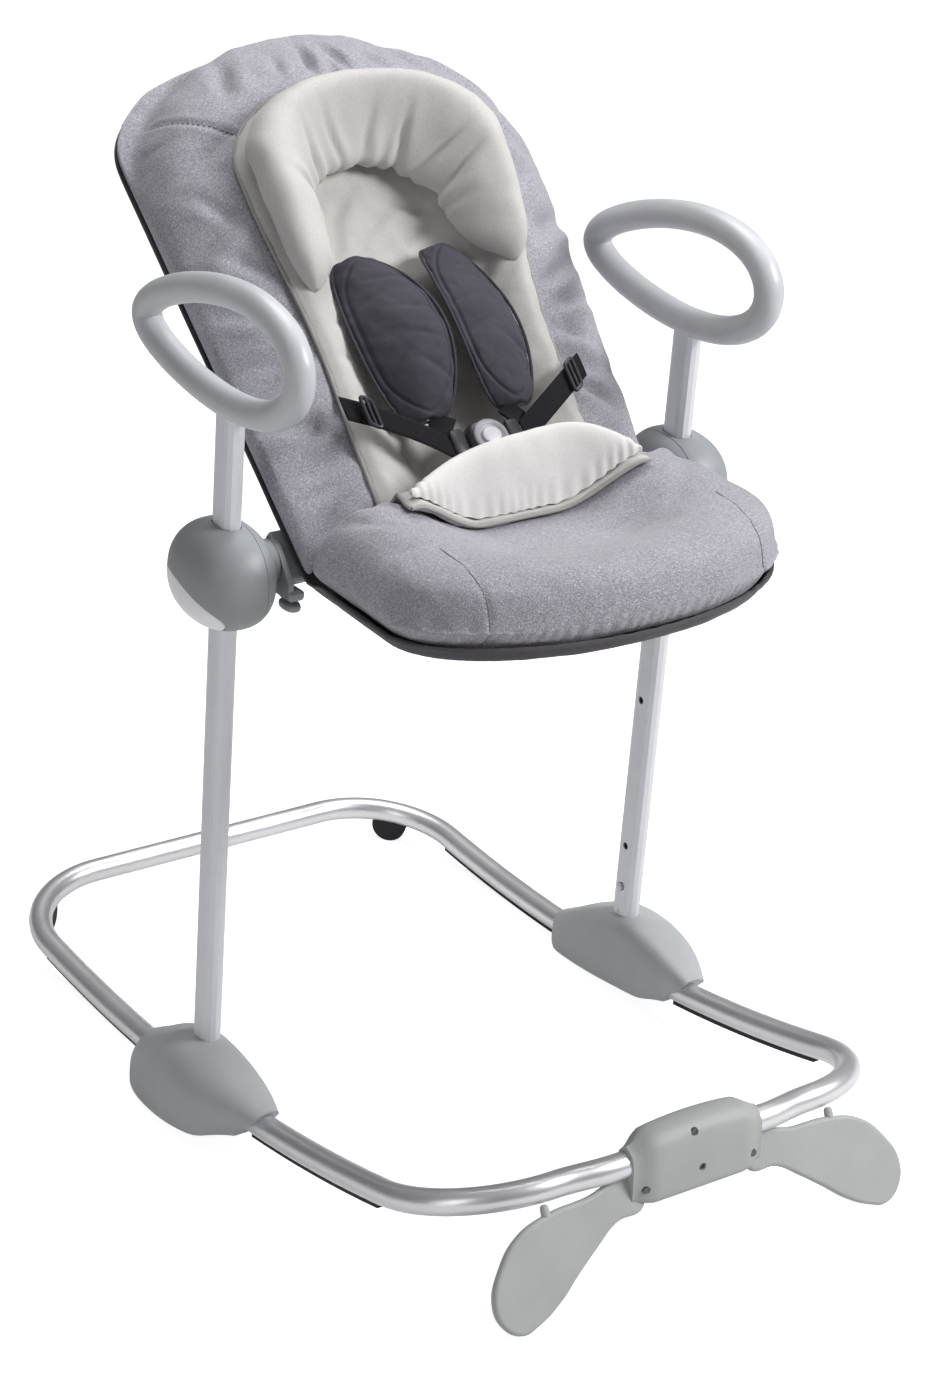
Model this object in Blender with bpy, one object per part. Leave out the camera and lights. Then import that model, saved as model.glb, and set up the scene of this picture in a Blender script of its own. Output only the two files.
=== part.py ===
"""Baby bouncer: a padded seat that slides on two posts and reclines, on a rocking tube base.

Metres, +Z up. The sitter faces -Y, and the base stands on Z = 0.
"""
import math

import bmesh
import bpy
from mathutils import Matrix, Vector

# Clearances
GAP = 0.0004            # between rigid pieces that touch
RUN = 0.0006            # radial clearance of turning and sliding fits
SOFT_GAP = 0.0036       # between padded pieces

# Rocking base: a loop of round tube, seen from above a rounded rectangle
TUBE_R = 0.0125
TUBE_WALL = 0.0015
HIP_HALF_W = 0.1940     # half the seat's width at the hip, which sets the rails apart
RAIL_ROOM = 0.0580      # from the seat's side at the hip to the rail's axis
RAIL_X = HIP_HALF_W + RAIL_ROOM    # side rail, from the middle plane
FRONT_Y = -0.436        # front rail at its ends
REAR_Y = 0.446          # rear rail
CORNER_R = 0.110
ROCKER_R = 1.94         # rocker, in side view
ROCKER_LOW_Y = 0.155    # where the rocker meets the floor
FRONT_BOW = 0.009       # the middle of the front rail, ahead of its ends
STRAIGHT_HALF = 0.085   # the front rail's straight middle
TUBE_JOINT_Y = 0.006    # where front and rear tube meet
STRIP_DEPTH = 0.0042
STRIP_WIDTH = 0.009
STRIP_FRONT_Y = -0.322
STRIP_REAR_Y = 0.340
BUMPER_R = 0.0195
BUMPER_THICK = 0.013

# Hubs over the joints of the base tubes
# A hub's stations from front to rear: place along the rail, height, and reach outward and inward
HUB_STATIONS = (
    (-0.122, 0.0560, 0.0230, 0.0160),
    (-0.098, 0.0665, 0.0360, 0.0215),
    (-0.062, 0.0765, 0.0490, 0.0250),
    (-0.020, 0.0820, 0.0560, 0.0265),
    (0.022, 0.0785, 0.0560, 0.0280),
    (0.060, 0.0625, 0.0510, 0.0280),
    (0.090, 0.0455, 0.0390, 0.0260),
    (0.108, 0.0360, 0.0200, 0.0180),
)
HUB_FOOT_BACK = 0.030   # the hood's foot stands behind its tip
HUB_FLOOR = 0.0010      # the hub's underside above the rocker's tread

# Posts
POST_LEAN = math.radians(4.85)
POST_FOOT_Z = 0.0683
POST_LONG = 0.032
POST_THICK = 0.020
POST_WALL = 0.0015
POST_SINK = 0.020       # the post goes down into its hub
POST_TOP = 0.676        # along the post, from its foot
STUB_WALL = 0.002
STUB_RISE = 0.080
STUB_SINK = 0.0305
HOLE_R = 0.0040
HOLES = (0.0960, 0.2677, 0.3831, 0.5035)
DIMPLE_AT = 0.0178      # a locating dimple near the post's foot
DIMPLE_R = 0.0024
DIMPLE_DEEP = 0.0007
SNAP_AT = 0.0469
SNAP_R = 0.0040
SNAP_PROUD = 0.0034

# Ring handles
RING_R = 0.0141
RING_HALF_LONG = 0.1364
RING_HALF_TALL = 0.0496
RING_EGG = 0.27         # the loop is taller towards its front
RING_TILT = math.radians(3.3)
RING_Y = -0.0391
RING_Z = 0.7939
SPIGOT_LONG = 0.045     # the ring's spigot, down inside the post

# Stop pedal round the middle of the front rail
PEDAL_HALF_W = 0.0725
PEDAL_TOP = 0.025       # above the rail's axis, at the ends
PEDAL_DOME = 0.007      # how much higher its middle is
PEDAL_LOW = 0.038       # below the rail's axis
PEDAL_FRONT = 0.0208
PEDAL_BACK = 0.0190
PEDAL_DRAW = 0.006      # how far the bracket's ends are drawn in
CLAMP_LOW = 0.0175
PEDAL_TILT = math.radians(22.0)
PADDLE_THICK = 0.0090
PADDLE_BACK = 0.0040    # the paddles' middle plane behind the rail's axis
PADDLE_TOP = 0.0190     # all down along the paddles, from the rail's axis
PADDLE_TIP = 0.1181
PADDLE_OUT = 0.2335     # from the middle plane
PADDLE_TIP_X = 0.208
PADDLE_NECK = 0.0410    # lower edge where the paddles leave the bracket
NUB_X = 0.161
NUB_R = 0.0042
NUB_AT = 0.0185
SCREW_R = 0.0034
SCREW_SINK = 0.0022
SCREW_SIDE_X = 0.061
SCREW_SIDE_DROP = 0.0215
SCREW_MID_DROP = 0.0150
SCREW_TOP_X = -0.0100
SCREW_TOP_RISE = 0.0240

# Pods, which slide on the posts
POD_AT = 0.5135         # along the post, from its foot
POD_OUT = 0.0480        # from the post's axis
POD_IN = 0.0400
POD_LONG = 0.0585
POD_TALL = 0.0500
POD_FULL = 0.90         # 1 is an ellipsoid, less is fuller
POD_WALL = 0.0026
POD_SPLIT = 0.0135      # the seam, inward from the post's axis
COLLAR_WALL = 0.0032    # the sleeve inside the pod, round the post
PIN_R = 0.0033
PIN_LONG = 0.0142
PIN_DROP = 0.0100       # the lock pin below the pod's middle
BUTTON_LONG = 0.080
BUTTON_TALL = 0.031
BUTTON_DEEP = 0.0100
BUTTON_AIM = math.radians(-38.0)   # below the horizontal, outward
BUTTON_TWIST = math.radians(-14.0)

# Recline hinge
HINGE_Y = -0.0510
HINGE_Z = 0.5850
BOSS_R = 0.0215
BOSS_OUT = 0.0424       # from the rail's plane to the boss's face
BOSS_FACE_X = RAIL_X - BOSS_OUT    # the boss faces the seat here
AXLE_R = 0.0070
ARM_THICK = 0.0052
ARM_R = 0.0205
ARM_NOSE_R = 0.0125
ARM_NOSE_Y = -0.0720
ARM_NOSE_Z = 0.5690
FLANGE_LAP = 0.018      # the arm's flange reaches this far in under the seat
FLANGE_IN_X = HIP_HALF_W - FLANGE_LAP
FLANGE_THICK = 0.0110
FLANGE_START = 0.012
FLANGE_LONG = 0.052
BOLT_AT = 0.0500        # along the back, from the hip
BOLT_R = 0.0030
BOLT_HEAD_R = 0.0052
BOLT_HEAD = 0.0030
HOUSING_W = 0.0165
HOUSING_LONG = 0.0290
HOUSING_TALL = 0.0100
CAP_TALL = 0.0120
CAP_STROKE = 0.0030
STEM_IN = 0.0014        # the cap's stem reaches this far into the arm's housing
STEM_LAP = 0.0020       # and this far into the cap
STEM_SIDE = 0.0035      # the stem's sides inside the housing's
POCKET_SIDE = 0.0025    # the pocket's sides inside the housing's

# Seat: two flat undersides that meet at the hip
BACK_ANGLE = math.radians(45.0)
HIP_Y = -0.0890
HIP_Z = 0.5660
BACK_LONG = 0.5510
BACK_HALF_W = 0.2140
HEAD_ROUND = 0.1050     # the length over which the head end is rounded
PAN_LONG = 0.2580
PAN_HALF_W = 0.2030
PAN_ROUND = 0.1100
FRAME_R = 0.0060
FRAME_INSET = 0.0260    # the frame's axis inside the outline
FRAME_RISE = 0.0106     # the frame's axis above the underside
FRAME_HIP_R = 0.020
COVER_T = 0.0030
COVER_DISH_BACK = 0.0010   # how much higher the under cover's edges lie
COVER_DISH_PAN = 0.0120
RIM_BACK = 0.10            # the share of the half width over which they rise
RIM_PAN = 0.035
CUSHION_LIFT = 0.0038   # the cushions above the under cover
CUSHION_OVER_FRAME = 0.0195
HEM_WIDE = 0.0140       # the cushions' undersides rise over this width at the hem
BACK_CROWN_HEAD = 0.077
BACK_CROWN_HIP = 0.050
BACK_HOLLOW = 0.024
PAN_CROWN_HIP = 0.088
PAN_CROWN_FRONT = 0.074
PAN_HOLLOW = 0.046
EDGE_BACK = 0.0055      # the cushions' thickness at their edges
EDGE_PAN = 0.0120
SWELL_BACK = 0.0        # how far the cushions' sides bulge over their hems
SWELL_PAN = 0.0090
INSERT_T = 0.006
INSERT_LIFT = 0.0072    # the insert above the cushions
INSERT_HALF_W = 0.122
INSERT_HEAD_HALF_W = 0.140
INSERT_TOP = 0.468      # along the back, from the hip
INSERT_WAIST = 0.155
PILLOW_RISE = 0.030
PILLOW_LIFT = 0.0068    # above the insert
PILLOW_HALF_W = 0.036
PILLOW_X = 0.096
PILLOW_TAIL = 0.250
PILLOW_TAIL_X = 0.103
PILLOW_ARCH = 0.318
PILLOW_ARCH_RISE = 0.098   # the arch's middle line over its springing
PILLOW_TAIL_STEPS = (0.0, 0.036, 0.060)   # up along a tail
ROLL_HALF_W = 0.132
ROLL_BACK = 0.004       # along the pan, from the hip's mitre
ROLL_FRONT = 0.034
ROLL_RISE = 0.056
ROLL_LEAN = 0.10        # how far its crest leans back, over its height
INSERT_LIP = 0.004      # the insert's hem ahead of the roll
INSERT_HEM_HALF_W = 0.150
PAD_HALF_W = 0.037
PAD_T = 0.022
PAD_X = 0.050
PAD_TOP = 0.290
PAD_LOW = 0.122
PAD_LIFT = 0.057        # above the back's underside
PAD_TILT = 0.012        # how much higher their outer edges lie
WAIST_X = 0.132         # where the waist straps come over the insert's edge
WAIST_S = 0.135
STRAP_T = 0.0022
STRAP_W = 0.025
BUCKLE_AT = 0.078       # along the back
BUCKLE_LIFT = 0.079
BUCKLE_W = 0.044
BUCKLE_TALL = 0.040
BUCKLE_T = 0.017
BUCKLE_BUTTON_R = 0.0100
BUCKLE_STROKE = 0.0025

# Colours, linear
SATIN_ALUMINIUM = (0.62, 0.63, 0.66)
POST_SILVER = (0.70, 0.70, 0.73)
HUB_GREY = (0.36, 0.38, 0.39)
POD_GREY = (0.27, 0.29, 0.30)
RING_GREY = (0.50, 0.52, 0.53)
BUTTON_WHITE = (0.75, 0.75, 0.78)
RUBBER_BLACK = (0.02, 0.02, 0.022)
STEEL = (0.45, 0.45, 0.47)
MELANGE_GREY = (0.38, 0.38, 0.42)
COVER_DARK = (0.08, 0.075, 0.09)
INSERT_GREY = (0.61, 0.60, 0.57)
PAD_SLATE = (0.10, 0.095, 0.12)
WEB_BLACK = (0.015, 0.015, 0.018)
BUCKLE_GREY = (0.09, 0.09, 0.10)


def start_clean():
    for obj in list(bpy.data.objects):
        bpy.data.objects.remove(obj, do_unlink=True)


def new_collection(name):
    coll = bpy.data.collections.new(name)
    bpy.context.scene.collection.children.link(coll)
    return coll


def plastic(name, colour, rough, metal=0.0):
    mat = bpy.data.materials.new(name)
    mat.use_nodes = True
    shader = mat.node_tree.nodes["Principled BSDF"]
    shader.inputs["Base Color"].default_value = (*colour, 1.0)
    shader.inputs["Roughness"].default_value = rough
    shader.inputs["Metallic"].default_value = metal
    mat.diffuse_color = (*colour, 1.0)
    return mat


start_clean()
PARTS = new_collection("baby_bouncer")
CUTTERS = new_collection("cutters")
MATS = {
    "aluminium": plastic("satin_aluminium", SATIN_ALUMINIUM, 0.35, 1.0),
    "post": plastic("post_silver", POST_SILVER, 0.40, 0.6),
    "hub": plastic("hub_grey", HUB_GREY, 0.55),
    "pod": plastic("pod_grey", POD_GREY, 0.50),
    "ring": plastic("ring_grey", RING_GREY, 0.45),
    "white": plastic("button_white", BUTTON_WHITE, 0.35),
    "rubber": plastic("rubber_black", RUBBER_BLACK, 0.75),
    "steel": plastic("steel", STEEL, 0.30, 1.0),
    "cover": plastic("cover_melange", MELANGE_GREY, 0.90),
    "under": plastic("cover_dark", COVER_DARK, 0.85),
    "insert": plastic("insert_grey", INSERT_GREY, 0.85),
    "pads": plastic("pad_slate", PAD_SLATE, 0.85),
    "web": plastic("webbing_black", WEB_BLACK, 0.80),
    "buckle": plastic("buckle_grey", BUCKLE_GREY, 0.45),
}


# Frames that carry the pieces

def empty(name, parent, place, turn_x=0.0):
    obj = bpy.data.objects.new(name, None)
    obj.location = place
    obj.rotation_euler = (turn_x, 0.0, 0.0)
    obj.parent = parent
    bpy.context.scene.collection.objects.link(obj)
    return obj


def place_part(obj, name, parent, mat, smooth=40.0):
    obj.name = name
    obj.data.name = name
    obj.parent = parent
    obj.data.materials.clear()
    obj.data.materials.append(MATS[mat])
    for coll in list(obj.users_collection):
        coll.objects.unlink(obj)
    PARTS.objects.link(obj)
    obj.data.shade_smooth()
    obj.data.set_sharp_from_angle(angle=math.radians(smooth))
    return obj


def place_cutter(obj, parent):
    obj.name = "cutter"
    obj.parent = parent
    for coll in list(obj.users_collection):
        coll.objects.unlink(obj)
    CUTTERS.objects.link(obj)
    obj.hide_render = True
    obj.display_type = "WIRE"
    return obj


def combine(obj, cutter, operation="DIFFERENCE"):
    mod = obj.modifiers.new(operation.lower(), "BOOLEAN")
    mod.operation = operation
    mod.solver = "EXACT"
    mod.object = cutter


# Shapes

def from_bmesh(bm):
    bm.normal_update()
    bmesh.ops.recalc_face_normals(bm, faces=bm.faces)
    if bm.calc_volume(signed=True) < 0.0:
        bmesh.ops.reverse_faces(bm, faces=bm.faces)
    mesh = bpy.data.meshes.new("piece")
    bm.to_mesh(mesh)
    bm.free()
    obj = bpy.data.objects.new("piece", mesh)
    PARTS.objects.link(obj)
    return obj


def curve_to_mesh(curve_obj):
    bpy.context.view_layer.update()
    graph = bpy.context.evaluated_depsgraph_get()
    mesh = bpy.data.meshes.new_from_object(curve_obj.evaluated_get(graph))
    bm = bmesh.new()
    bm.from_mesh(mesh)
    bmesh.ops.remove_doubles(bm, verts=bm.verts, dist=0.00001)
    bmesh.ops.recalc_face_normals(bm, faces=bm.faces)
    bm.to_mesh(mesh)
    bm.free()
    obj = bpy.data.objects.new(curve_obj.name, mesh)
    obj.matrix_world = curve_obj.matrix_world
    PARTS.objects.link(obj)
    bpy.data.objects.remove(curve_obj, do_unlink=True)
    return obj


def pipe(points, radius, resolution=4, cyclic=False):
    """A round bar or tube along points."""
    data = bpy.data.curves.new("pipe", "CURVE")
    data.dimensions = "3D"
    data.bevel_depth = radius
    data.bevel_resolution = resolution
    data.use_fill_caps = not cyclic
    spline = data.splines.new("POLY")
    spline.points.add(len(points) - 1)
    for knot, place in zip(spline.points, points):
        knot.co = (*place, 1.0)
    spline.use_cyclic_u = cyclic
    obj = bpy.data.objects.new("pipe", data)
    PARTS.objects.link(obj)
    return curve_to_mesh(obj)


def plate(outlines, thickness, matrix=Matrix.Identity(4), bevel=0.0):
    """A flat piece from outlines in its own XY plane; an outline inside another is a hole."""
    data = bpy.data.curves.new("plate", "CURVE")
    data.dimensions = "2D"
    data.fill_mode = "BOTH"
    data.extrude = thickness / 2.0 - bevel
    data.bevel_depth = bevel
    data.bevel_resolution = 1
    for outline in outlines:
        spline = data.splines.new("POLY")
        spline.points.add(len(outline) - 1)
        for knot, (x, y) in zip(spline.points, outline):
            knot.co = (x, y, 0.0, 1.0)
        spline.use_cyclic_u = True
    obj = bpy.data.objects.new("plate", data)
    obj.matrix_world = matrix
    PARTS.objects.link(obj)
    return curve_to_mesh(obj)


def rod(radius, length, matrix, sides=20):
    """A round bar along its own Z axis, centred."""
    bm = bmesh.new()
    bmesh.ops.create_cone(bm, cap_ends=True, segments=sides, radius1=radius, radius2=radius,
                          depth=length)
    obj = from_bmesh(bm)
    obj.matrix_world = matrix
    return obj


def block(size, matrix, bevel=0.0, segments=2):
    bm = bmesh.new()
    bmesh.ops.create_cube(bm, size=1.0)
    bmesh.ops.scale(bm, vec=size, verts=bm.verts)
    if bevel > 0.0:
        bmesh.ops.bevel(bm, geom=list(bm.edges), offset=bevel, segments=segments, profile=0.5,
                        affect="EDGES")
    obj = from_bmesh(bm)
    obj.matrix_world = matrix
    return obj


def slab(rows):
    """A padded body from rows of (upper points, lower points)."""
    bm = bmesh.new()
    upper = [[bm.verts.new(p) for p in top] for top, low in rows]
    lower = [[bm.verts.new(p) for p in low] for top, low in rows]
    last = len(rows) - 1
    count = len(rows[0][0])
    for j in range(last):
        for i in range(count - 1):
            bm.faces.new((upper[j][i], upper[j][i + 1], upper[j + 1][i + 1], upper[j + 1][i]))
            bm.faces.new((lower[j][i], lower[j + 1][i], lower[j + 1][i + 1], lower[j][i + 1]))
        for i in (0, count - 1):
            bm.faces.new((upper[j][i], upper[j + 1][i], lower[j + 1][i], lower[j][i]))
    for j in (0, last):
        for i in range(count - 1):
            bm.faces.new((upper[j][i], lower[j][i], lower[j][i + 1], upper[j][i + 1]))
    return from_bmesh(bm)


def loft(rings):
    """A closed body through rings of equal counts."""
    bm = bmesh.new()
    loops = [[bm.verts.new(p) for p in ring] for ring in rings]
    count = len(rings[0])
    for near, far in zip(loops, loops[1:]):
        for i in range(count):
            k = (i + 1) % count
            bm.faces.new((near[i], near[k], far[k], far[i]))
    bm.faces.new(loops[0])
    bm.faces.new(loops[-1])
    return from_bmesh(bm)


def stadium(long, thick, steps=6):
    """An oval with straight sides, long in Y."""
    r = thick / 2.0
    shift = long / 2.0 - r
    points = []
    for end, start in ((1.0, 0.0), (-1.0, math.pi)):
        for k in range(steps + 1):
            a = start + math.pi * k / steps
            points.append((r * math.cos(a), end * shift + r * math.sin(a)))
    return points


def ellipse(half_x, half_y, count):
    turn = 2.0 * math.pi / count
    return [(half_x * math.cos(k * turn), half_y * math.sin(k * turn)) for k in range(count)]


def smooth(t):
    t = min(max(t, 0.0), 1.0)
    return t * t * (3.0 - 2.0 * t)


def blend(a, b, t):
    return a + (b - a) * t


def along_x(place, side=1.0):
    """A frame whose Z axis points along X."""
    return Matrix.Translation(place) @ Matrix.Rotation(side * math.pi / 2.0, 4, "Y")


# Base tubes

def rail_height(y):
    """The height of the base tube's axis over the floor."""
    low = TUBE_R + STRIP_DEPTH
    return low + ROCKER_R - math.sqrt(ROCKER_R ** 2 - (y - ROCKER_LOW_Y) ** 2)


def bow(x):
    reach = RAIL_X - CORNER_R
    t = (abs(x) - STRAIGHT_HALF) / (reach - STRAIGHT_HALF)
    return FRONT_BOW * (1.0 - smooth(t))


def rail_point(x, y):
    return Vector((x, y, rail_height(y)))


def half_loop(end_y, joint_y, forward):
    """Points from the middle of the front or rear rail to the joint on the right side."""
    reach = RAIL_X - CORNER_R
    points = []
    steps = 4
    for k in range(steps):
        x = reach * k / steps
        points.append(rail_point(x, end_y - (bow(x) if forward < 0 else 0.0)))
    turns = 6
    for k in range(turns + 1):
        a = 0.5 * math.pi * k / turns
        x = reach + CORNER_R * math.sin(a)
        y = end_y - forward * CORNER_R * (1.0 - math.cos(a))
        points.append(rail_point(x, y))
    start = end_y - forward * CORNER_R
    runs = 4
    for k in range(1, runs + 1):
        points.append(rail_point(RAIL_X, blend(start, joint_y, k / runs)))
    return points


def base_loop(end_y, joint_y, forward):
    half = half_loop(end_y, joint_y, forward)
    mirrored = [Vector((-p.x, p.y, p.z)) for p in half]
    return mirrored[:0:-1] + half


def stretched(points, extra):
    first = points[0] + (points[0] - points[1]).normalized() * extra
    last = points[-1] + (points[-1] - points[-2]).normalized() * extra
    return [first] + points[1:-1] + [last]


def base_tube(name, end_y, joint_y, forward, root):
    points = base_loop(end_y, joint_y, forward)
    tube = place_part(pipe(points, TUBE_R), name, root, "aluminium")
    bore = pipe(stretched(points, 0.01), TUBE_R - TUBE_WALL, 1)
    combine(tube, place_cutter(bore, root))


def tube_cutter(points, clearance, root):
    return place_cutter(pipe(stretched(points, 0.002), TUBE_R + clearance), root)


def grip_strip(name, side, y0, y1, root):
    steps = 8
    rings = []
    half = STRIP_WIDTH / 2.0
    touch = TUBE_R + GAP
    for k in range(steps + 1):
        y = blend(y0, y1, k / steps)
        z = rail_height(y)
        x = side * RAIL_X
        shoulder = z - math.sqrt(touch ** 2 - half ** 2)
        tread = z - TUBE_R - STRIP_DEPTH
        rings.append([(x - half, y, shoulder), (x, y, z - touch), (x + half, y, shoulder),
                      (x + half, y, tread), (x - half, y, tread)])
    place_part(loft(rings), name, root, "rubber")


def rear_stop(name, side, root, tube_shape):
    a = math.pi / 4.0
    x = RAIL_X - CORNER_R + CORNER_R * math.sin(a)
    y = REAR_Y - CORNER_R * (1.0 - math.cos(a))
    frame = (Matrix.Translation((side * x, y, BUMPER_R)) @ Matrix.Rotation(-side * a, 4, "Z")
             @ Matrix.Rotation(math.pi / 2.0, 4, "X"))
    stop = place_part(rod(BUMPER_R, BUMPER_THICK, frame, 28), name, root, "rubber")
    combine(stop, tube_shape)


# Hubs

def hub_station(y):
    """Height and reaches of the hub at a place along the rail."""
    for near, far in zip(HUB_STATIONS, HUB_STATIONS[1:]):
        if y <= far[0]:
            t = (y - near[0]) / (far[0] - near[0])
            return [blend(a, b, t) for a, b in zip(near[1:], far[1:])]
    return HUB_STATIONS[-1][1:]


def hub_ring(y, side):
    """One section of a hub: a flat floor under a dome that bulges outward."""
    top, out, inner = hub_station(y)
    floor = rail_height(y) - TUBE_R - STRIP_DEPTH + HUB_FLOOR
    height = top - floor
    x = side * RAIL_X
    front = HUB_STATIONS[0][0]
    near = 1.0 - smooth((y - front) / (2.5 * HUB_FOOT_BACK))
    points = []
    steps = 10
    for k in range(steps + 1):
        a = math.pi * k / steps
        outward = a < math.pi / 2.0
        reach = out if outward else inner
        power = 0.75 if outward else 0.50
        across = math.copysign(abs(math.cos(a)) ** power, math.cos(a)) * reach
        up = abs(math.sin(a)) ** 0.70
        push = HUB_FOOT_BACK * (1.0 - smooth(up)) * near
        points.append((x + side * across, y + push, floor + height * up))
    return points


def hub(name, side, root, cutters):
    rows = 11
    rings = []
    front = HUB_STATIONS[0][0]
    rear = HUB_STATIONS[-1][0]
    for k in range(rows + 1):
        rings.append(hub_ring(blend(front, rear, k / rows), side))
    body = place_part(loft(rings), name, root, "hub", 50.0)
    for cutter in cutters:
        combine(body, cutter)


# Posts, in the post's own frame: Z runs up along it

def lift(z):
    return Matrix.Translation((0.0, 0.0, z))


def post_socket(frame):
    outline = stadium(POST_LONG + 2.0 * GAP, POST_THICK + 2.0 * GAP)
    length = POST_SINK + 0.060
    return place_cutter(plate([outline], length, lift(length / 2.0 - POST_SINK - GAP)), frame)


def stub_socket(frame):
    long = POST_LONG - 2.0 * (POST_WALL + GAP)
    thick = POST_THICK - 2.0 * (POST_WALL + GAP)
    outline = stadium(long + 2.0 * GAP, thick + 2.0 * GAP)
    length = STUB_SINK
    return place_cutter(plate([outline], length, lift(-length / 2.0 - GAP)), frame)


def ring_points(side):
    points = []
    count = 30
    for k in range(count):
        a = 2.0 * math.pi * k / count
        along = RING_HALF_LONG * math.cos(a)
        up = RING_HALF_TALL * math.sin(a) * (1.0 + RING_EGG * math.cos(a))
        y = RING_Y - along * math.cos(RING_TILT) + up * math.sin(RING_TILT)
        z = RING_Z + along * math.sin(RING_TILT) + up * math.cos(RING_TILT)
        points.append(Vector((side * RAIL_X, y, z)))
    return points


def in_frame(points, frame):
    """Points of the root's frame, in the frame of an empty that is its child."""
    turn = Matrix.Rotation(frame.rotation_euler.x, 4, "X")
    back = (Matrix.Translation(frame.location) @ turn).inverted()
    return [back @ p for p in points]


def post(name, side, frame, ring_shape):
    wall = [stadium(POST_LONG, POST_THICK),
            stadium(POST_LONG - 2.0 * POST_WALL, POST_THICK - 2.0 * POST_WALL)]
    length = POST_TOP + POST_SINK
    tube = plate(wall, length, lift(length / 2.0 - POST_SINK))
    place_part(tube, name, frame, "post", 30.0)
    inner_face = -side * POST_THICK / 2.0
    for at in HOLES:
        drill = rod(HOLE_R, 3.0 * POST_WALL, along_x((inner_face, 0.0, at)), 12)
        combine(tube, place_cutter(drill, frame))
    snap = rod(SNAP_R + RUN, 3.0 * POST_WALL, along_x((inner_face, 0.0, SNAP_AT)), 16)
    combine(tube, place_cutter(snap, frame))
    dimple = rod(DIMPLE_R, 2.0 * DIMPLE_DEEP, along_x((inner_face, 0.0, DIMPLE_AT)), 12)
    combine(tube, place_cutter(dimple, frame))
    combine(tube, ring_shape)


def post_stub(name, side, frame):
    long = POST_LONG - 2.0 * (POST_WALL + GAP)
    thick = POST_THICK - 2.0 * (POST_WALL + GAP)
    wall = [stadium(long, thick, 4),
            stadium(long - 2.0 * STUB_WALL, thick - 2.0 * STUB_WALL, 4)]
    length = STUB_RISE + STUB_SINK - 2.0 * GAP
    middle = (STUB_RISE - STUB_SINK) / 2.0
    stub = place_part(plate(wall, length, lift(middle)), name, frame, "steel", 30.0)
    inner_face = -side * POST_THICK / 2.0
    snap = rod(SNAP_R + RUN, 3.0 * (POST_WALL + STUB_WALL), along_x((inner_face, 0.0, SNAP_AT)), 16)
    combine(stub, place_cutter(snap, frame))


def snap_button(name, side, frame):
    face = POST_THICK / 2.0
    tail = 0.0035
    length = SNAP_PROUD + tail
    middle = face + SNAP_PROUD - length / 2.0
    holder = empty(name + "_axis", frame, (-side * middle, 0.0, SNAP_AT))
    bm = bmesh.new()
    bmesh.ops.create_cone(bm, cap_ends=True, segments=16, radius1=SNAP_R, radius2=SNAP_R,
                          depth=length)
    outer = [e for e in bm.edges if all(v.co.z > 0.0 for v in e.verts)]
    bmesh.ops.bevel(bm, geom=outer, offset=0.0012, segments=2, profile=0.5, affect="EDGES")
    button = from_bmesh(bm)
    button.matrix_world = along_x((0.0, 0.0, 0.0), -side)
    place_part(button, name, holder, "steel")


def ring(name, side, frame):
    loop = in_frame(ring_points(side), frame)
    handle = place_part(pipe(loop, RING_R, 4, True), name, frame, "ring", 60.0)
    long = POST_LONG - 2.0 * (POST_WALL + GAP)
    thick = POST_THICK - 2.0 * (POST_WALL + GAP)
    length = SPIGOT_LONG
    spigot = plate([stadium(long, thick, 4)], length, lift(POST_TOP - length / 2.0))
    combine(handle, place_cutter(spigot, frame), "UNION")


def ring_cutter(side, frame):
    loop = in_frame(ring_points(side), frame)
    return place_cutter(pipe(loop, RING_R + GAP, 4, True), frame)


# Stop pedal, in a frame on the front rail's axis

def pedal_plane():
    """The paddles' plane: its X is X, its Y runs down along them, its Z faces the front."""
    down = Vector((0.0, -math.sin(PEDAL_TILT), -math.cos(PEDAL_TILT)))
    front = Vector((0.0, -math.cos(PEDAL_TILT), math.sin(PEDAL_TILT)))
    across = down.cross(front)
    turn = Matrix((across, down, front)).transposed().to_4x4()
    return turn @ Matrix.Translation((0.0, 0.0, -PADDLE_BACK))


def paddle_outline(side):
    """Neck, shoulder, outer curve, tip and inner curve of one paddle, smoothed."""
    neck_x = PEDAL_HALF_W - 0.012
    knots = [(neck_x, PADDLE_TOP), (0.120, PADDLE_TOP + 0.001), (NUB_X, PADDLE_TOP + 0.002),
             (0.197, PADDLE_TOP + 0.010), (0.222, 0.0500), (PADDLE_OUT, 0.0800),
             (0.226, 0.1060), (PADDLE_TIP_X, PADDLE_TIP), (0.187, 0.1125), (0.160, 0.0970),
             (0.136, 0.0740), (0.112, 0.0570), (0.086, PADDLE_NECK + 0.001),
             (neck_x, PADDLE_NECK)]
    return [(side * x, d) for x, d in knots]


def bezier_plate(knots, thickness, matrix, bevel, resolution):
    data = bpy.data.curves.new("plate", "CURVE")
    data.dimensions = "2D"
    data.fill_mode = "BOTH"
    data.resolution_u = resolution
    data.extrude = thickness / 2.0 - bevel
    data.bevel_depth = bevel
    data.bevel_resolution = 1
    data.offset = -bevel
    spline = data.splines.new("BEZIER")
    spline.bezier_points.add(len(knots) - 1)
    for knot, (x, y) in zip(spline.bezier_points, knots):
        knot.co = (x, y, 0.0)
        knot.handle_left_type = "AUTO"
        knot.handle_right_type = "AUTO"
    spline.use_cyclic_u = True
    obj = bpy.data.objects.new("plate", data)
    obj.matrix_world = matrix
    PARTS.objects.link(obj)
    return curve_to_mesh(obj)


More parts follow.
